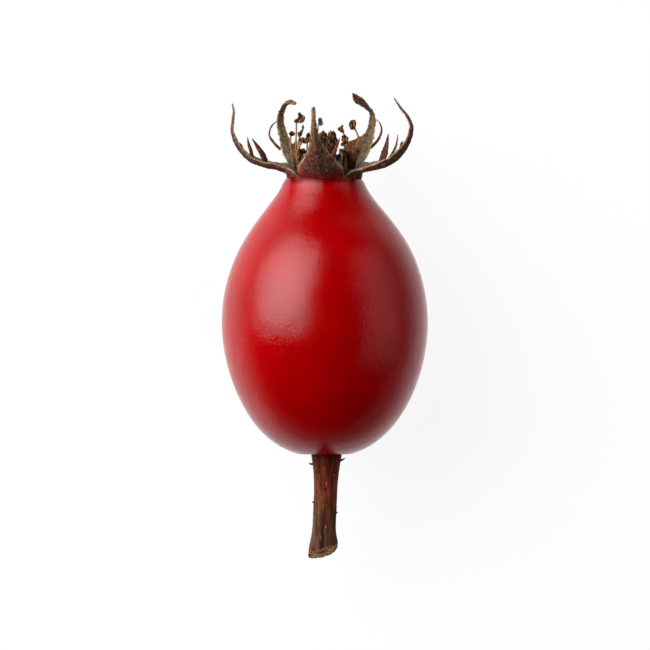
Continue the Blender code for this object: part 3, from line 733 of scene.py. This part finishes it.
BACK_RIGHT = dict(
    azimuth=307, half=36, twist=(0, 0, 0, 10, 20), down=(0.35, 0.9),
    path=(
        (2.76, 0.15), (3.25, 0.65), (4.4, 1.53), (5.28, 2.54), (5.92, 3.55), (6.28, 4.47), (6.24, 5.24), (5.64, 5.7),
        (4.65, 6.22), (3.66, 6.76),
    ),
    widths=(2.9, 2, 1.4, 0.88, 0.55, 0.38, 0.48, 0.8, 0.14),
    halves=((1, 1), (1, 1), (1.4, 1.1), (2, 1.25), (1.1, 1.42), (1, 1.75), (1, 1.55), (1, 1.05), (1, 1), (1, 1)),
    lobes=(
        (0.34, 1, 0.17,
            ((3.66, 2.42, -3.9), (4.06, 2.84, -3.95), (4.39, 3.32, -4.1), (4.52, 3.83, -4.25), (4.44, 4.32, -4.4),
             (4.15, 4.74, -4.6))),
    ),
    outer=(
        "0 7c1c14 7a1810 701010", "0.1 7e5c46 6a4430 643424", "0.5 8c744a 745a30 6a4e2a", "1 b76d4e a35c43 975239",
    ),
    inner=(
        "0 3f2315 3d2b1c 45382b 524438 645443", "0.12 572a18 523520 574738 645646 796652",
        "0.22 662f15 603b1c 665440 716250 916e5a", "0.32 723c18 6a3f1e 665436 6c5c40 8a7249",
        "0.45 794c28 6a4c31 665234 6c5c36 7e6c43", "0.6 71593d 665234 604c31 6a5934 7e6a47",
        "0.72 8a7458 7c6244 74583e 7c6244 8a6e50", "0.8 7e6044 705440 644838 70503e 7e5c48",
        "0.9 7c563e 73523c 664531 734b35 85523a", "1 925235 894931 80402c",
    ),
)
SEPALS = {"sepal_front": FRONT, "sepal_left": LEFT, "sepal_right": RIGHT}
SEPALS |= {"sepal_back_left": BACK_LEFT, "sepal_back_right": BACK_RIGHT}
# Half of a blade's section, from the rib to a margin
ACROSS = (0, 0.07, 0.15, 0.25, 0.37, 0.5, 0.63, 0.75, 0.86, 0.93, 0.97, 1)
SECTION = tuple(-u for u in ACROSS[:0:-1]) + ACROSS
SEPAL_STATIONS = 130
SEPAL_HAIRS = 3200
LOBE_HAIRS = 110
GLAND_SHARE = 0.15
DOWN_COLOUR = "c8b49c"
FOOT_OVERLAP = 0.34
LOBE_STEP = 0.05


def face_colours(rows):
    """A sepal's rows, each as its place along the sepal and five colours."""
    made = []
    for place, *codes in map(str.split, rows):
        given = [colour(code) for code in codes]
        made.append((float(place), *given, *given[-2::-1][: 5 - len(given)]))
    return made


def zone_colour(rows, along, across):
    """The colour of a blade's face at a place along it and across it (-1 to 1)."""
    along = min(max(along, 0), 1)
    k = 0
    while k < len(rows) - 2 and rows[k + 1][0] < along:
        k += 1
    share = (along - rows[k][0]) / (rows[k + 1][0] - rows[k][0])
    column = min(max((across + 1) * 2, 0), 4)
    j = min(int(column), 3)
    below, above = (mix(row[1 + j], row[2 + j], ramp(column - j, 0, 1)) for row in rows[k : k + 2])
    return mix(below, above, share)


def sepal_frames(spec, count):
    """Along a sepal: its middle line, and at each place the way along, aside and inward."""
    line = smooth([crown_point(spec["azimuth"], *place) for place in spec["path"]], count)
    frames = []
    for i, (centre, along) in enumerate(zip(line, tangents(line))):
        share = i / (count - 1)
        along = mix(ALONG, along, ramp(share, -0.01, 0.1)).normalized()
        aside = sideways(spec["azimuth"])
        aside = (aside - along * aside.dot(along)).normalized()
        aside = Matrix.Rotation(math.radians(curve_at(spec["twist"], share)), 3, along) @ aside
        frames.append((centre, along, aside, aside.cross(along)))
    return frames


@dataclass
class Blade:
    """One leafy blade: a keeled, hollowed strip with uneven, toothed and wavy margins."""

    frames: list
    widths: list
    depths: list
    channels: list
    colours: list
    seed: float
    teeth: float
    keel: float
    down: tuple = (0.35, 0.8)
    halves: list = None

    def __post_init__(self):
        self.halves = self.halves or [Vector((1, 1))] * len(self.frames)
        self.lengths = [0]
        for a, b in zip(self.frames, self.frames[1:]):
            self.lengths.append(self.lengths[-1] + (b[0] - a[0]).length)

    def at(self, i, across, inner):
        """(place, tint, texture place, downiness) of a point on the inner or outer face."""
        centre, _, aside, inward = self.frames[i]
        share = i / (len(self.frames) - 1)
        length = self.lengths[i]
        width = self.widths[i]
        side = 1 if across > 0 else -1
        edge = abs(across)
        free = ramp(share, 0.02, 0.14)
        ragged = rough((length, 3 * side, self.seed), 0.42)
        tooth = max(0, rough((length, 5 * side, self.seed), 0.2) - 0.12)
        calm = 1 - 0.8 * ramp(share, 0.8, 0.88)
        uneven = self.teeth * free * calm * min(1, 1.6 * width)
        reach = width / 2 + uneven * (0.045 * ragged + 0.2 * tooth - 0.03)
        wave = 0.11 * rough((length, side * 2, self.seed + 3), 0.8) * edge**3
        wave += 0.05 * rough((length, across * width, self.seed + 6), 0.45) * edge
        half = self.halves[i][side > 0]
        reach *= half
        lift = self.channels[i] * (across * half) ** 2 + wave * min(width, 1) * free
        depth = self.depths[i] * (0.2 + 0.8 * (1 - across * across))
        place = centre + aside * (across * reach)
        ridge = bell(across * width, 0.16)
        veins = math.sin(length * 5.5 - edge * width * 4 + 2 * side)
        grain = 0.03 * rough(place, 0.3, self.seed) + 0.014 * rough(place, 0.12, self.seed)
        grain += 0.012 * veins * edge * (1 - edge) * 2 * min(width, 1.5)
        if inner:
            place += inward * (lift + depth / 2 + (grain - 0.05 * self.keel * ridge) * min(1, width))
        else:
            place += inward * (lift - depth / 2 - (grain + 0.07 * self.keel * ridge * free) * min(1, width))
        here = zone_colour(self.colours[inner], share, across)
        here = here * (1 + 0.3 * rough(place, 0.5, self.seed + 1)) * (1 + 0.5 * ramp(edge, 0.88, 1) * free)
        thin = ramp(edge, 0.93, 0.985) * free * ramp(width, 0.3, 1.2) * ramp(share, 0.75, 0.25)
        here = mix(here, colour("e8ccb8"), 0.95 * thin)
        down = self.down[inner] + (1 - self.down[inner]) * ramp(edge, 0.85, 1)
        down *= mix(ramp(share, 0.03, 0.17), 1, inner)
        return place, here, (length, across * width / 2, self.seed + inner), down

    def add_to(self, shape, finish):
        section = [(across, True) for across in SECTION] + [(across, False) for across in SECTION[::-1]]
        shape.loft(range(len(self.frames)), len(section), lambda i, k: self.at(i, *section[k]), finish)

    def grow(self, shape, draws, count, finish, reach, margin_share):
        """Down on both faces and along the margins. Some hairs end in a gland."""
        pale = colour(DOWN_COLOUR)
        last = len(self.frames) - 1
        total = sum(self.widths)
        made = 0
        while made < count:
            i = draws.randrange(1, last)
            on_margin = draws.random() < margin_share
            if not on_margin and draws.random() > 2.2 * self.widths[i] * last / total:
                continue
            made += 1
            side = draws.choice((-1, 1))
            across = side * (1 if on_margin else draws.uniform(0, 0.97))
            inner = draws.random() < 0.5
            root, here = self.at(i, across, inner)[:2]
            _, along, aside, inward = self.frames[i]
            away = inward if inner else -inward
            if on_margin:
                away = aside * side
            way = (away + along * draws.uniform(0.1, 0.9) + random_way(draws) * 0.5).normalized()
            length = reach * draws.uniform(0.5, 1.3) * (0.75 if on_margin else 0.9)
            length *= 0.3 + 0.7 * min(1, 0.8 * self.widths[i])
            light = mix(here, pale, draws.uniform(0.45, 1))
            bend = random_way(draws) * (0.25 * length)
            radius = draws.uniform(0.008, 0.013)
            shape.hair(root - way * 0.02, way, length, radius, light, finish, bend)
            if draws.random() < GLAND_SHARE:
                shape.bead(root + way * length + bend, draws.uniform(0.022, 0.04), mix(here, pale, 0.3), finish)


def lobe_blade(rows, frames, lobe, seed):
    """A narrow pointed side lobe, with its root in the sepal's margin and its colours from there."""
    place, side, width, steps = lobe
    along = frames[round(place * (len(frames) - 1))][1]
    path = crown_places(steps)
    length = sum((b - a).length for a, b in zip(path, path[1:]))
    stations = max(18, round(length / LOBE_STEP))
    path = smooth(path, stations)
    made = []
    for point, way in zip(path, tangents(path)):
        across = (along - way * along.dot(way)).normalized()
        made.append((point, way, across, across.cross(way)))
    shares = [k / (stations - 1) for k in range(stations)]
    swell = [width * (0.75 + 1 * at - 1.72 * at * at) + 0.02 for at in shares]
    depths = [mix(0.26, 0.1, at) for at in shares]
    base = mix(zone_colour(rows, place, 0.6 * side), colour("5c3828"), 0.5)
    tip = mix(zone_colour(rows, 0.8, 0), colour("78281c"), 0.6)
    strip = [(0, base, base, base * 0.8, base, base), (1, tip, tip, tip * 0.9, tip, tip)]
    return Blade(made, swell, depths, [0.06] * stations, (strip, strip), seed, 0.6, 0.5)


def make_sepal(number, name, spec, finishes):
    count = SEPAL_STATIONS
    is_front, is_back_left, is_blunt = number == 0, number == 3, number in (0, 3, 4)
    half = math.radians(spec["half"] + 3.5)
    foot_width = 2 * FOOT_REACH * math.sin(half)
    foot_channel = FOOT_REACH * (1 - math.cos(half))
    shares = [i / (count - 1) for i in range(count)]
    blunt = 0.03 if is_blunt else 0.1
    widths = smooth([foot_width, *spec["widths"]], count)
    widths = [width * mix(0.3, 1, ramp(1 - share, 0, blunt)) for share, width in zip(shares, widths)]
    channels = [foot_channel * (width / foot_width) ** 1.5 for width in widths]
    depths = []
    for share, width in zip(shares, widths):
        thick = min(0.4, 0.1 + 0.2 * width) + 0.08 * is_back_left * ramp(share, 0.7, 0.85)
        depths.append(mix(0.44, thick, ramp(share, 0, 0.16)))
    # the foot goes down over the flesh's upper edge
    lean = outward(spec["azimuth"])
    sunk = []
    for share, (centre, *ways) in zip(shares, sepal_frames(spec, count)):
        foot = 1 - ramp(share, 0, 0.08)
        centre = centre + ALONG * (-FOOT_OVERLAP * foot) + lean * (0.06 * is_front * foot)
        sunk.append((centre, *ways))
    colours = [face_colours(spec[face]) for face in ("outer", "inner")]
    halves = smooth([Vector(pair) for pair in spec["halves"]], count)
    blade = Blade(sunk, widths, depths, channels, colours, 10 * number, 1, 1, spec["down"], halves)
    shape = Shape()
    blade.add_to(shape, 0)
    draws = random.Random(100 + number)
    blade.grow(shape, draws, SEPAL_HAIRS, 1, 0.085, 0.4)
    for k, lobe in enumerate(spec["lobes"], 1):
        side = lobe_blade(colours[0], sunk, lobe, 10 * number + k)
        side.add_to(shape, 0)
        side.grow(shape, draws, LOBE_HAIRS, 1, 0.07, 0.5)
    shape.piece(name + "_dried", finishes, name)


# The disc, the stamens and the styles
#
# The stamens that stand in sight: where the anther is, its outline as (degrees, radius) pairs,
# its depth, the colour of its husk and of its paler parts, the filament's colours from root to
# anther, and the filament's path from the disc.
SHOWN_STAMENS = (
    (
        (-1.95, 4.6, 0.9),
        ((18, 0.4), (60, 0.36), (100, 0.5), (140, 0.2), (175, 0.27), (212, 0.56), (250, 0.37), (300, 0.38)),
        (0.24, "674835", "aa9172"), ("684f33", "aa8255"),
        ((-2.2, 0.45, 0.5), (-2.3, 1.6, 0.8), (-2.27, 3, 0.95), (-2.24, 4.25, 0.9)),
    ),
    (
        (-2.6, 3.42, 0.42), ((0, 0.25), (60, 0.2), (120, 0.22), (180, 0.25), (240, 0.22), (300, 0.2)),
        (0.2, "3a1e0f", "805b37"), ("671e12", "a36d44"),
        ((-2.25, 0.45, 0.3), (-2.45, 1.3, 0.75), (-2.7, 2.2, 0.7), (-2.7, 3.3, 0.45)),
    ),
    (
        (-1.6, 2.85, 1.1),
        ((5, 0.42), (50, 0.3), (90, 0.2), (140, 0.34), (180, 0.38), (225, 0.26), (270, 0.24), (320, 0.3)),
        (0.16, "59391a", "a3794a"), ("805b37", "ae8051"),
        ((-2.15, 0.45, 0.6), (-2.2, 1.4, 1), (-2.1, 2.2, 1.15), (-1.75, 2.8, 1.1)),
    ),
    (
        (-1.98, 3.35, 0.6), ((0, 0.2), (60, 0.2), (120, 0.24), (180, 0.16), (240, 0.22), (300, 0.17)),
        (0.14, "674d21", "a68246"), ("866237", "a3794a"),
        ((-2, 0.45, 0.9), (-2.1, 1.4, 1.1), (-2.1, 2.4, 0.9), (-2, 3.2, 0.65)),
    ),
    (
        (-0.37, 4.35, 0.88),
        ((20, 0.18), (70, 0.32), (110, 0.32), (165, 0.18), (200, 0.14), (240, 0.22), (285, 0.34), (325, 0.3)),
        (0.15, "594032", "ae9f84"), ("684b30", "9b7b51"),
        ((-0.5, 0.45, 1.5), (-0.6, 1.8, 1.6), (-0.62, 3.3, 1.2), (-0.46, 4.26, 0.9)),
    ),
    (
        (1.3, 3.75, 0.92),
        ((0, 0.17), (35, 0.22), (68, 0.38), (120, 0.24), (180, 0.29), (230, 0.22), (275, 0.24), (312, 0.37)),
        (0.16, "59402a", "a37d51"), ("673121", "784f30"),
        ((1.9, 0.45, 0.7), (1.95, 1.5, 1), (1.8, 2.6, 1.1), (1.45, 3.52, 0.93)),
    ),
    (
        (1.56, 3.02, 1.27),
        ((0, 0.32), (45, 0.24), (95, 0.3), (135, 0.28), (180, 0.24), (225, 0.3), (270, 0.34), (320, 0.33)),
        (0.22, "512d1a", "a36d42"), ("682a1d", "804035"),
        ((2.1, 0.45, 0.8), (2.15, 1.4, 1.1), (2, 2.2, 1.3), (1.75, 2.85, 1.25)),
    ),
    (
        (2.22, 4.1, 0.52),
        ((0, 0.27), (50, 0.36), (75, 0.44), (110, 0.4), (150, 0.33), (200, 0.3), (250, 0.4), (290, 0.4), (330, 0.28)),
        (0.2, "59461d", "b29363"), ("8f5b2a", "ba7942"),
        ((2.25, 0.45, 0.35), (2.42, 1.5, 0.5), (2.5, 2.4, 0.6), (2.68, 3.05, 0.6), (2.37, 3.87, 0.53)),
    ),
)
# Stamens farther back: where the anther is, its length, and the colours of husk and filament.
BACK_STAMENS = (
    ((-1.25, 3.3, -1.3), 0.55, "4a3826", "7c5a36"), ((-2.15, 2.3, 0), 0.5, "6a4a2e", "9a6c44"),
    ((-0.27, 2.7, -1.9), 0.6, "4a3420", "6c4a2c"), ((0.6, 3, -1.7), 0.65, "4a3420", "6c4a2c"),
    ((1.5, 2.7, -1.35), 0.65, "5c4028", "7a5230"), ((2.55, 2.1, -0.4), 0.6, "54391f", "80502c"),
    ((-1.05, 2.1, 1.3), 0.55, "5a3020", "7a4a2e"), ((0.68, 2.3, 1.45), 0.6, "4a2c1a", "5c3420"),
    ((-1.75, 2, -1.1), 0.6, "6c4c2c", "84603c"), ((0.84, 2.2, -1.25), 0.55, "4a3420", "6c4a2c"),
    ((0.15, 3, -1.6), 0.6, "4a3420", "6c4a2c"), ((-1.1, 3, -1.9), 0.6, "54402a", "7c5a36"),
    ((-2.1, 1.6, 0.5), 0.45, "3a2016", "7a4a30"), ((2.2, 1.7, -1), 0.55, "54391f", "8a6034"),
    ((-1.86, 2.02, 0.4), 0.42, "54301a", "6a3820"), ((-1.5, 2, 0.3), 0.42, "4c2010", "6a3820"),
)
# The tuft of withered filaments that arch over together: the azimuth of each root, its colour
# and its half-width.
BENT_TUFT = (
    (2, "2c140a", 0.16), (13, "1c0c06", 0.15), (23, "4a2814", 0.1), (32, "1c0c06", 0.15), (41, "8a5428", 0.1),
    (50, "241008", 0.13), (59, "9a7450", 0.08), (68, "281208", 0.14), (79, "1c0c06", 0.14),
)


# The disc's section, from its underside over its rim to the bowl for the styles: (radius, rise)
DISC = (
    (0.02, 0.05), (1.2, 0.02), (2, 0.02), (2.3, 0.12), (2.42, 0.35), (2.36, 0.55), (2.15, 0.7), (1.8, 0.78),
    (1.4, 0.8), (1.1, 0.74), (0.95, 0.6), (0.85, 0.45), (0.4, 0.42), (0.02, 0.42),
)
# How high above the seam, and how far out, the roots of the stamens behind are
ROOT_RISE = 0.45
ROOT_REACH = 1.9


def random_turn(draws):
    return Matrix.Rotation(draws.uniform(0, 2 * math.pi), 3, random_way(draws))


def wandering(path, amount, size, seed):
    """The path with small smooth bends, its two ends kept."""
    made = [path[0]]
    for i, point in enumerate(path[1:-1], 1):
        bend = Vector([rough((i * 0.18, 7 * seed, 3 * axis), size) for axis in range(3)])
        made.append(point + bend * amount)
    return made + [path[-1]]


def anther(shape, at, length, turn, tint, seed):
    """A withered anther: two crumpled husks side by side, each split along its outer side."""

    def crumpled(unit, here):
        split = bell(math.atan2(unit.y, unit.x), 0.35) * (1 - unit.z**2)
        size = 1 - 0.45 * split + 0.22 * rough(unit, 0.7, seed) + 0.1 * rough(unit, 0.3, seed)
        flare = 1 + 0.25 * unit.z * unit.z
        pale = ramp(rough(unit, 0.5, seed + 3), 0, 0.6)
        here = mix(here * (1 - 0.65 * split), here * 1.9, 0.6 * pale)
        return Vector((unit.x * size * flare, unit.y * size, unit.z * (1 + 0.12 * rough(unit, 0.5, seed)))), here

    half = length / 2
    for side in (-1, 1):
        way = turn @ Matrix.Rotation(side * 0.22, 3, "X")
        spin = Matrix.Rotation(math.pi * (side < 0) + 0.4, 3, "Z")
        middle = at + turn @ Vector((0, side * 0.2 * length, 0))
        shape.lump(middle, (0.24 * length, 0.22 * length, half), way @ spin, tint, 1, 16, 18, crumpled)
    shape.lump(at, (0.1 * length, 0.12 * length, 0.4 * half), turn, tint * 0.8, 1, 6, 8)


def husk(shape, at, outline, depth, tint, pale, seed):
    """A spread, curled anther with that outline: ribbed, with a cleft down its middle."""
    sides = 40
    turns = [degrees for degrees, _ in outline] + [outline[0][0] + 360]
    sizes = [size for _, size in outline] + [outline[0][1]]

    def reach(degrees):
        degrees = (degrees - turns[0]) % 360 + turns[0]
        k = max(i for i, turn in enumerate(turns) if turn <= degrees + 1e-6)
        k = min(k, len(turns) - 2)
        return mix(sizes[k], sizes[k + 1], ramp(degrees, turns[k], turns[k + 1]))

    def place(down, k):
        degrees = 360 * k / sides
        way = Vector((math.cos(math.radians(degrees)), math.sin(math.radians(degrees)), 0))
        flat = way * (reach(degrees) * math.sin(down) ** 0.75)
        folds = rough((flat.x * 1.5, flat.y * 0.5, seed), 0.16)
        curl = 0.8 * depth * (flat.length / 0.4) ** 2
        cleft = bell(flat.x - 0.06 + 0.2 * flat.y, 0.05) * (math.cos(down) > 0)
        deep = depth * math.cos(down) * (0.8 + 0.35 * folds) + curl - 0.5 * depth * cleft
        point = at + flat + Vector((0, 0, deep))
        aside = Vector((1, 0, 0)) * 0.04 * rough(point, 0.16, seed)
        point += aside + ALONG * 0.04 * rough(point, 0.14, seed + 4)
        # painted highlight and shade: fold ridges are painted pale, fold troughs darker; rim and cleft are paler too
        light = ramp(folds, 0.05, 0.4) * 0.8 + 0.6 * ramp(math.sin(down), 0.96, 1) + 0.7 * cleft**4
        return point, mix(tint * (1 - 0.6 * ramp(-folds, 0, 0.35)), pale, min(light, 1))

    shape.loft(pole_to_pole(22), sides, place, 1)


def make_stamens():
    shape = Shape()
    disc = colour("3c2a1c")

    def disc_at(row, k):
        radius, rise = row
        at = crown_point(4.5 * k, radius, rise)
        uneven = 1 if 0.5 < radius and rise > 0.1 else 0
        at += ALONG * (0.08 * rough(at, 0.3, 2) * uneven)
        at += outward(4.5 * k) * (0.06 * rough(at, 0.35, 6) * uneven)
        return at, disc * (1 + 0.6 * rough(at, 0.3, 4))

    shape.loft(DISC[::-1], 80, disc_at, 0)

    draws = random.Random(7)
    for number, (at, outline, (depth, low, high), thread, way) in enumerate(SHOWN_STAMENS):
        path = wandering(smooth(crown_places(way), 34), 0.03, 0.9, number)
        root, tip = (colour(code) for code in thread)
        radii = [mix(0.13, 0.07, i / 33) * (1 + 0.25 * rough((i * 0.15, number, 0), 0.4)) for i in range(34)]
        shape.tube(path, radii, 8, lambda share: mix(root * 0.5, tip, ramp(share, 0.1, 0.75)), 0, 0.75, number, 0.2)
        husk(shape, crown_place(*at), outline, depth, colour(low), colour(high), 3 * number + 1)
    # a thin one whose anther is a curled strand
    thin = smooth(crown_places(((-1.9, 0.45, -0.6), (-2, 2, -0.7), (-1.95, 3.3, -0.6))), 24)
    shape.tube(wandering(thin, 0.03, 0.9, 31), [0.06] * 24, 7, colour("7c5a3a"), 0, 0.8)
    curl = crown_places(((-1.95, 3.3, -0.6), (-1.86, 3.6, -0.58), (-1.74, 3.85, -0.6), (-1.72, 4.18, -0.6)))
    radii = smooth([0.1, 0.15, 0.14, 0.09, 0.12, 0.04], 20)
    grey, pale = colour("3a3024"), colour("6c5c48")
    shape.tube(smooth(curl, 20), radii, 12, lambda share: mix(grey, pale, share), 1, 0.6, 5, 0.5)
    for number, (at, length, low, thread) in enumerate(BACK_STAMENS):
        tip = crown_place(*at)
        flat = Vector((at[0], 0, at[2])).normalized()
        root = crown_place(0, ROOT_RISE, 0) + flat * ROOT_REACH
        swing = flat * 0.25 + random_way(draws) * 0.2
        rising = root + ALONG * (0.35 * at[1]) + flat * 0.2
        path = bezier(root, rising, tip - ALONG * (0.4 * at[1]) + swing, tip, 22)
        path = wandering(path, 0.05, 0.9, 40 + number)
        radii = [mix(0.1, 0.06, i / 22) for i in range(23)]
        light = colour(thread)
        shape.tube(path, radii, 7, lambda share: light * (0.7 + 0.3 * share), 0, 0.75, number, 0.25)
        anther(shape, tip, length, random_turn(draws), colour(low), 3 * number)
    for number, (degrees, code, width) in enumerate(BENT_TUFT):
        root = crown_point(degrees, 2.22, 0.4)
        top = crown_place(1.1 + 0.05 * (number % 3), 2.18 - 0.05 * number, 1.3 + 0.05 * number)
        rising = root + ALONG + outward(degrees) * 0.12
        path = bezier(root, rising, top + outward(degrees) * 0.62 + ALONG * 0.05, top, 30)
        path = wandering(path, 0.03, 0.9, 60 + number)
        radii = smooth([width * 0.8, width, width, width * 0.9, width * 0.6, 0.05], 31)
        shape.tube(path, radii, 12, colour(code), 2, 0.55, 50 + number, 0.15)
    finishes = [
        husk_material("filament_dry", 0.45, 0.6, 0.25),
        husk_material("anther_husk", 0.7, 0.9, 0.15),
        husk_material("bent_filament_glossy", 0.3, 0.45, 0.16),
    ]
    shape.piece("stamens_dried", finishes, "stamens")


# The stigmas, finger-like ends in two heads and below them: where each is and its half-width
STIGMAS = (
    ((-0.33, 3.33, 0.25), 0.11), ((-0.17, 3.46, 0.35), 0.12), ((-0.01, 3.42, 0.4), 0.11), ((0.1, 3.3, 0.3), 0.1),
    ((-0.24, 3.24, 0.5), 0.11), ((-0.06, 3.2, 0.55), 0.12), ((0.36, 3.34, 0.3), 0.11), ((0.5, 3.46, 0.35), 0.12),
    ((0.66, 3.44, 0.3), 0.12), ((0.8, 3.3, 0.2), 0.11), ((0.44, 3.22, 0.5), 0.11), ((0.62, 3.2, 0.5), 0.12),
    ((0.84, 3.06, 0.35), 0.11), ((0.92, 2.86, 0.25), 0.12), ((0.2, 2.98, 0.55), 0.12), ((0.4, 2.94, 0.6), 0.12),
    ((0, 2.92, 0.6), 0.12), ((0.62, 2.86, 0.6), 0.13), ((-0.2, 2.95, 0.45), 0.12), ((0.3, 2.6, 0.65), 0.13),
    ((0.75, 2.6, 0.5), 0.12), ((-0.4, 3.2, -0.3), 0.12), ((-0.15, 3.38, -0.35), 0.12), ((0.45, 3.4, -0.3), 0.12),
    ((0.7, 3.3, -0.35), 0.12), ((-0.5, 2.8, 0.1), 0.12), ((0.15, 2.9, -0.5), 0.12),
)


STYLE_HAIRS = 16
# Places of the styles' core and of two loose strands that fall over the tuft
STYLE_CORE = ((0, 0.6, 0), (0.05, 1.4, 0.05), (0.15, 2.1, 0.1), (0.25, 3, 0.1))
LOOSE_STRANDS = (
    ((0.1, 3.1, 0.7), (0.35, 2.7, 0.78), (0.6, 2.4, 0.72), (0.75, 2.15, 0.6)),
    ((0.55, 3.1, 0.6), (0.8, 2.9, 0.62), (1.02, 2.75, 0.5)),
)


def make_styles():
    shape = Shape()
    draws = random.Random(3)
    core = smooth(crown_places(STYLE_CORE), 28)
    shape.tube(core, smooth([0.62, 0.56, 0.55, 0.52, 0.3], 28), 32, colour("2c180c"), 0, 1, 4, 0.55)
    for k, (place, size) in enumerate(STIGMAS):
        seed = 2 * k + 1
        high = mix(0.2, 0.7, ramp(place[1], 2.9, 3.3))

        def knobbed(unit, here):
            ribs = rough((unit.x * 1.6, unit.y * 0.5, unit.z * 1.6), 0.8, seed)
            bulge = 0.95 + 0.35 * ribs + 0.12 * rough(unit, 0.3, seed)
            pale = ramp(ribs, 0.05, 0.4)
            # painted highlight and shade: the bulging ribs are painted lighter and pale, the hollows between darker
            return unit * bulge, mix(here * (0.75 + 0.6 * ribs), colour("b89a70"), high * pale)

        tip = crown_place(*place)
        azimuth = math.degrees(math.atan2(place[2], place[0] - 0.25))
        root = crown_point(azimuth, 0.4, 0.8)
        middle = (root + tip) / 2 + outward(azimuth) * 0.18
        path = wandering(smooth([root, middle, tip], 22), 0.07, 0.8, k)
        tone = mix(colour("341c0e"), colour("84603c"), draws.random() ** 2)
        shape.tube(path, [0.07] * 22, 8, tone, 0, 0.85, k, 0.3)
        lean = Matrix.Rotation(draws.uniform(-0.35, 0.35), 3, "Z") @ Matrix.Rotation(draws.uniform(-0.4, 0.4), 3, "X")
        tone = mix(colour("2c160a"), colour("4c301c"), high)
        shape.lump(tip, (size, size * 1.9, size), lean, tone, 0, 18, 20, knobbed)
        for _ in range(STYLE_HAIRS):
            share = draws.uniform(0.1, 0.85)
            way = (random_way(draws) + ALONG * 0.6).normalized()
            shape.hair(path[int(share * 21)], way, draws.uniform(0.12, 0.3), 0.012, colour("8a7458"), 0)
    for way in LOOSE_STRANDS:
        strand = wandering(smooth(crown_places(way), 18), 0.04, 0.8, way[0][0])
        shape.tube(strand, [0.032] * 18, 6, colour("a07c54"), 0)
    shape.piece("styles_dried", [husk_material("style_withered", 0.5, 0.75, 0.2)], "styles")


# The table, the light and the camera

TABLE_HALF = 3
TABLE_GLOW = 0.9
ROOM_GLOW = 0.004
LAMP_GLOW = 1.6
CAMERA_LENS = 314
CAMERA_HEIGHT = 449.6
WHITE = (1, 1, 1)
FROM_CAMERA = "Is Camera Ray"


def make_stage():
    """A white table that glows. It lights the fruit less than the camera sees, and less far away."""
    half = TABLE_HALF
    mesh = bpy.data.meshes.new("table_top")
    mesh.from_pydata([(-half, -half, 0), (half, -half, 0), (half, half, 0), (-half, half, 0)], [], [(0, 1, 2, 3)])
    n = Nodes(bpy.data.materials.new("table_white"))
    cloud = n.range(n.noise(2, 2), 0.3, 0.7, 0.11, 0.13)
    apart = n.distance(n.coordinates(), (-0.012, 0.004, 0))
    lit = n.range(apart, 0.022, 0.06, 0.85 * TABLE_GLOW, 0.1 * TABLE_GLOW)
    glow = n.range(n.add("LightPath", FROM_CAMERA), 0, 1, lit, TABLE_GLOW, "LINEAR")
    look = {"Specular_IOR_Level": 0.1, "Emission_Color": WHITE, "Emission_Strength": glow}
    mesh.materials.append(n.finish(n.blend(cloud, (0, 0, 0), WHITE), 0.7, **look))
    link("table_top", mesh)

    bpy.context.scene.world = bpy.data.worlds.new("studio")
    n = Nodes(bpy.context.scene.world, "Background")
    n.put(n.last, "Color", WHITE)
    n.put(n.last, "Strength", ROOM_GLOW)
    seen = n.add("Background", "Background", {"Color": WHITE})
    either = {"Fac": n.add("LightPath", FROM_CAMERA), 1: n.last.outputs["Background"], 2: seen}
    n.put(n.tree.nodes["World Output"], "Surface", n.add("MixShader", "Shader", either))


def make_light(name, way, distance, size, power, middle=(0.5, 0.5), fall=0.7, aim=(0, 0, 8)):
    """A softbox that faces the aim, with the second of its sizes along the fruit.

    It is brightest at middle, a share of its width and height, and fades towards its edges.
    """
    data = bpy.data.lights.new(name, "AREA")
    data.shape = "RECTANGLE"
    data.size, data.size_y = size
    data.energy = power
    lamp = link(name, data)
    way = Vector(way).normalized()
    up = (ALONG - way * way.dot(ALONG)).normalized()
    turn = Matrix((up.cross(way), up, way)).transposed()
    lamp.matrix_world = Matrix.Translation(Vector(aim) * MM + way * distance) @ turn.to_4x4()
    lamp.visible_camera = False
    n = Nodes(data, "Emission")
    gap = n.distance(n.add("NewGeometry", "Parametric"), (*middle, 0))
    n.put(n.last, "Strength", n.range(gap, 0, 0.75, LAMP_GLOW, LAMP_GLOW - LAMP_GLOW * fall))
    return lamp


def make_camera():
    data = bpy.data.cameras.new("view")
    data.sensor_width = 36
    data.lens = CAMERA_LENS
    data.clip_start = 0.01
    data.clip_end = 10
    view = link("view", data)
    view.location = (0.016 * MM, -0.08 * MM, (AXIS_HEIGHT + CAMERA_HEIGHT) * MM)
    bpy.context.scene.camera = view


def main():
    bpy.context.scene.view_settings.view_transform = "Standard"
    make_camera()
    make_stage()
    make_light("key_softbox", (-0.72, 0.48, 0.53), 0.6, (0.8, 0.82), 7.3, (0.56, 0.4), 0.75, (11.4, 26.4, -0.4))
    make_light("side_panel", (0.9, 0.22, 0.38), 0.7, (0.62, 1), 0.78, (0.5, 0.6), 0.5)
    fill = make_light("low_fill", (0.7, -0.55, 0.45), 0.6, (0.4, 0.4), 0.36, fall=0.3)
    fill.visible_glossy = False
    make_flesh()
    make_stalk()
    finishes = [sepal_material(), hair_material()]
    for number, (name, spec) in enumerate(SEPALS.items()):
        make_sepal(number, name, spec, finishes)
    make_stamens()
    make_styles()


main()
